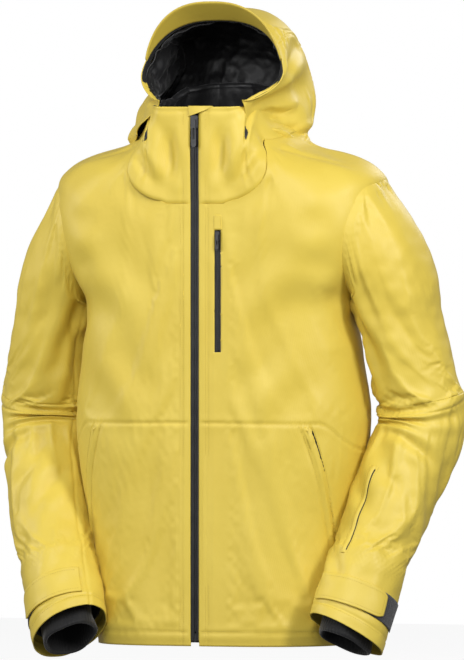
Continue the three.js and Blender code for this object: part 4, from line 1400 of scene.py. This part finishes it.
def make_teeth(name, replaced, middle, side, half, low, high, depth):
    """A row of moulded teeth, each a rounded block with a waist."""
    pitch = 2.4
    points, faces = [], []
    outline = [(0.0, 0.55), (0.35, 0.8), (0.6, 0.5), (1.0, 0.62)]
    for z in np.arange(low + 2, high - 2, pitch) + (pitch / 2 if side > 0 else 0):
        base = len(points)
        for y, shrink in ((depth - 0.2, 0.75), (depth + 0.5, 1.0), (depth + 1.8, 1.0)):
            for share, tall in outline + outline[::-1]:
                up = tall if len(points) % 8 < 4 else -tall
                x = middle + side * (share * half * shrink - 0.5)
                points.append((x, -FRONT + y, z + up * shrink))
        for ring in range(2):
            for k in range(8):
                a, b = base + ring * 8 + k, base + ring * 8 + (k + 1) % 8
                faces.append((a, b, b + 8, a + 8))
        faces.append(tuple(base + k for k in range(8))[::-1])
        faces.append(tuple(base + 16 + k for k in range(8)))
    data = bpy.data.meshes.new(name)
    data.from_pydata(row(np.array(points)).tolist(), [], faces)
    data.materials.append(plastic)
    made = bpy.data.objects.new(name, data)
    bpy.context.scene.collection.objects.link(made)
    face_out(made)
    on_torso(made, *replaced, slot="zip")


def face_out(made):
    """Makes the faces of a closed mesh agree and face outwards."""
    bm = bmesh.new()
    bm.from_mesh(made.data)
    bmesh.ops.recalc_face_normals(bm, faces=bm.faces)
    bm.to_mesh(made.data)
    bm.free()


def make_zips():
    for side, name in ((1, "left"), (-1, "right")):
        make_tape(f"main_tape_{name}", f"main_zip_tape_{name}", 0, side, 20, 6, 846, 1.3)
        make_teeth(f"main_teeth_{name}", [f"main_zip_coil_{name}"], 0, side, 3.6, 22, 820, 3.4)
        make_tape(f"chest_tape_{name}", f"chest_zip_tape_{name}", CHEST_X, side, 12, 460, 668, 0.7)
        make_teeth(f"chest_teeth_{name}", [], CHEST_X, side, 2.4, 470, 640, 3.0)


def make_pocket(name, side):
    """The hand pocket's welt, a folded strip standing off the body, and the edge of the zip behind it."""
    down = np.linspace(0, 1, 110)[:, None]
    turn = mix(POCKET_TOP[0], POCKET_LOW[0], down)
    z = mix(POCKET_TOP[1], POCKET_LOW[1], down)
    across = np.linspace(-6.5, 6.2, 14)[None]
    base = body_at(turn + across / 3.5, z) * (side, 1, 1)
    lift = 1.8 + 2.2 * smooth(across, -6.5, 6) - 2.6 * (1 - smooth(across, -6.5, -4))
    ends = smooth(down, 0, 0.03) * (1 - smooth(down, 0.97, 1))
    welt = calm(lay_on(body_tree, base, lift * ends - 0.4 * (1 - ends)), 2)
    on_torso(cloth_piece(f"{name}_hand_welt", welt, shell, thick=1.4), f"{name}_pocket_welt", slot="shell")
    behind = np.linspace(5.6, 10.4, 5)[None]
    base = body_at(turn[4:-4] + behind / 3.5, z[4:-4]) * (side, 1, 1)
    strip = lay_on(body_tree, base, 0.35)
    on_torso(cloth_piece(f"{name}_hand_zip", strip, coated_tape, thick=0.5), f"{name}_pocket_zip", slot="zip")
    for k, off in enumerate((-9.5, 13.0)):
        line = body_at(turn[:, 0] + off / 3.5, z[:, 0]) * (side, 1, 1)
        on_torso(stitch_line(f"{name}_pocket_stitches_{k}", line, body_tree, thread))


def make_zip_garage():
    """The corner of the wearer's left front, folded over the top of the zip."""
    t = np.linspace(0, 1, 30)[None]
    s = np.linspace(0, 1, 14)[:, None]
    high = COLLAR_TOP + 1.5
    x = mix(-10, 31, t)
    low = high - 17 * (1 - t) ** 0.75
    z = mix(high, low, s)
    y = -(FRONT + 2.2) - 3.6 * np.sin(np.clip(t * 1.3, 0, 1) * math.pi) * (0.35 + 0.65 * s)
    grid = np.stack(np.broadcast_arrays(x, y, z), axis=-1)
    over = grid[:1].copy()
    over[..., 1] += 5
    over[..., 2] -= 1.5
    grid = np.concatenate([over, grid])
    on_torso(cloth_piece("zip_garage_fold", grid, shell, thick=1.4), "zip_garage", slot="shell")


def make_chest_garage():
    """The stitched frame above the chest zip that the slider parks in."""
    x = np.linspace(-7.5, 7.5, 14)[None]
    z = np.linspace(CHEST_HIGH, CHEST_HIGH + 25, 20)[:, None]
    edge = smooth(np.minimum(np.abs(z - CHEST_HIGH), np.abs(z - CHEST_HIGH - 25)), 0, 2.5)
    y = -(FRONT + 0.2) - 1.5 * edge * smooth(7.5 - np.abs(x), 0, 2.2)
    grid = np.stack(np.broadcast_arrays(x + CHEST_X, y, z), axis=-1)
    garage = cloth_piece("chest_garage_patch", grid, shell, thick=1.4)
    on_torso(garage, "chest_zip_garage", slot="shell")
    frame_path = np.array([(-5.5, 2), (-5.5, 23), (5.5, 23), (5.5, 2)])
    across, up = frame_path.T
    corners = np.column_stack([across + CHEST_X, np.full(4, -FRONT - 2.0), up + CHEST_HIGH])
    dense = np.concatenate([np.linspace(a, b, 12) for a, b in zip(corners[:-1], corners[1:])])
    on_torso(stitch_line("chest_garage_stitches", dense, tree_of(garage), thread))


def make_neck_slots():
    """Black lining that shows where the hood's front leaves the collar, one on each side."""
    for side, name in ((1, "left"), (-1, "right")):
        down = np.linspace(0, 1, 24)[:, None]
        wide = 5.5 * np.sin(down * math.pi) ** 0.7
        across = np.linspace(-1, 1, 8)[None] * wide
        share = mix(0.7, 0.42, down)
        base = collar_at(33 + across * 0.55, share) * (side, 1, 1)
        slot_cloth = lay_on(collar_tree, base, 0.5 + 0.8 * np.sin(down * math.pi))
        on_torso(cloth_piece(f"{name}_neck_slot", slot_cloth, black, thick=0.8), slot="lining")


def make_hanger_loop():
    """A folded tape sewn inside the back of the neck."""
    low, high = (hem(p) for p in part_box("hanger_loop"))
    middle = (low + high) / 2
    half = (high[0] - low[0]) / 2 - 4
    angle = np.linspace(0, math.pi, 60)[:, None]
    path_x = half * np.cos(angle)
    path_z = low[2] + 2 + (high[2] - low[2] - 3.2) * np.sin(angle) ** 0.7
    across = np.linspace(-1, 1, 8)[None]
    y = middle[1] + across * (high[1] - low[1]) * 0.42
    z = path_z - 0.5 * across**2
    grid = np.stack(np.broadcast_arrays(path_x, y, z), axis=-1)
    loop = cloth_piece("hanger_tape", grid, tape_black, thick=1.2, inside=(middle[0], middle[1], low[2]))
    on_torso(loop, "hanger_loop", slot="loop")


def upright_line(x, y, heights):
    return np.stack(np.broadcast_arrays(x, y, heights), axis=-1)


def stitch_body():
    turns = even_turns(HEM_STITCH, EDGE_TURN + 1, 500)
    lines = {"hem_stitches": body_at(turns, HEM_STITCH + 2.5)}
    for side, name in ((1, "left"), (-1, "right")):
        z = np.linspace(8, NECK_FRONT - 3, 300)
        for k, off in enumerate((PLACKET - 2.5, PLACKET + 3.2)):
            lines[f"placket_stitches_{name}_{k}"] = upright_line(side * off, -FRONT, z)
    for line, path in lines.items():
        on_torso(stitch_line(line, path, body_tree, thread))
    z = np.linspace(NECK_FRONT + 4, COLLAR_TOP - 8, 80)
    for side, name in ((1, "left"), (-1, "right")):
        path = upright_line(side * (PLACKET - 2.5), -FRONT - 1, z)
        on_torso(stitch_line(f"collar_stitches_{name}", path, collar_tree, thread))
        for k, off in enumerate((-2.2, 2.2)):
            seam = np.array([(84, -118, 790), (83, -122, 763), (98, -120, 730)]) + (off, 0, 0)
            seam = through(np.column_stack([(0, 1, 2), seam]))(np.linspace(0, 2, 40)) * (side, 1, 1)
            on_torso(stitch_line(f"collar_side_stitches_{name}_{k}", seam, collar_tree, thread))


collar_tree = tree_of(collar_shell)
make_body_lining()
make_powder_skirt()
make_storm_flap()
make_zips()
for name, side in (("left", 1), ("right", -1)):
    make_pocket(name, side)
make_zip_garage()
make_chest_garage()
make_neck_slots()
make_hanger_loop()
stitch_body()

brim_line = brim_grid(0, 14)[10, 6:-6]
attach(stitch_line("brim_stitches", brim_line, tree_of(hood_brim), thread), "hood")

for node in ("main_zip_box", "main_zip_slider", "main_zip_pull", "chest_zip_slider", "chest_zip_pull"):
    data = frame["nodes"][node].data
    data.materials.clear()
    data.materials.append(plastic)


# ---- Floor and light -------------------------------------------------------------------------------------
FLOOR_DROP = 0.3  # metres from the jacket's lowest point
FLOOR_HALF = 8.0


def make_floor():
    low = cad_box[0][2] - FLOOR_DROP
    ends = (-FLOOR_HALF, FLOOR_HALF)
    points = np.array([[(x, y, low) for x in ends] for y in ends])
    s = Shader("floor").set(Roughness=0.9, Specular_IOR_Level=0.1)
    s.link(s.ramp(s.noise(0.6), (0.3, (0.80, 0.80, 0.80)), (0.7, (0.84, 0.84, 0.84))), "Base Color")
    s.set(Emission_Color=(1, 1, 1, 1), Emission_Strength=0.75)
    floor = mesh_object("floor", points, grid_faces(2, 2, False), s.material)
    floor.visible_diffuse = False
    floor.visible_glossy = False


def area_light(name, place, aim, size, power):
    data = bpy.data.lights.new(name, "AREA")
    data.shape = "RECTANGLE"
    data.size, data.size_y = size
    data.energy = power
    made = bpy.data.objects.new(name, data)
    bpy.context.scene.collection.objects.link(made)
    made.location = place
    made.rotation_mode = "QUATERNION"
    made.rotation_quaternion = (Vector(aim) - Vector(place)).to_track_quat("-Z", "Y")


def make_light():
    world = bpy.data.worlds.new("studio")
    bpy.context.scene.world = world
    world.use_nodes = True
    tree = world.node_tree
    around = tree.nodes["Background"]
    around.inputs["Strength"].default_value = 0.2
    around.inputs["Color"].default_value = (1, 1, 1, 1)
    seen = tree.nodes.new("ShaderNodeBackground")
    seen.inputs["Color"].default_value = (1, 1, 1, 1)
    both = tree.nodes.new("ShaderNodeMixShader")
    path = tree.nodes.new("ShaderNodeLightPath")
    tree.links.new(path.outputs["Is Camera Ray"], both.inputs["Fac"])
    tree.links.new(around.outputs[0], both.inputs[1])
    tree.links.new(seen.outputs[0], both.inputs[2])
    tree.links.new(both.outputs[0], tree.nodes["World Output"].inputs["Surface"])
    middle = (0, -0.05, -0.35)
    area_light("key", (0.7, -3.4, 1.7), middle, (1.6, 1.8), 85)
    area_light("fill", (-1.2, -3.3, 0.3), middle, (1.2, 1.8), 24)
    area_light("left side", (-3.0, -1.0, 0.8), middle, (0.5, 1.6), 36)
    area_light("right side", (2.8, -1.6, 1.1), middle, (0.5, 1.6), 70)
    area_light("back", (0.9, 3.4, 1.6), middle, (1.4, 1.6), 40)
    bpy.context.scene.view_settings.view_transform = "Standard"


make_floor()
make_light()
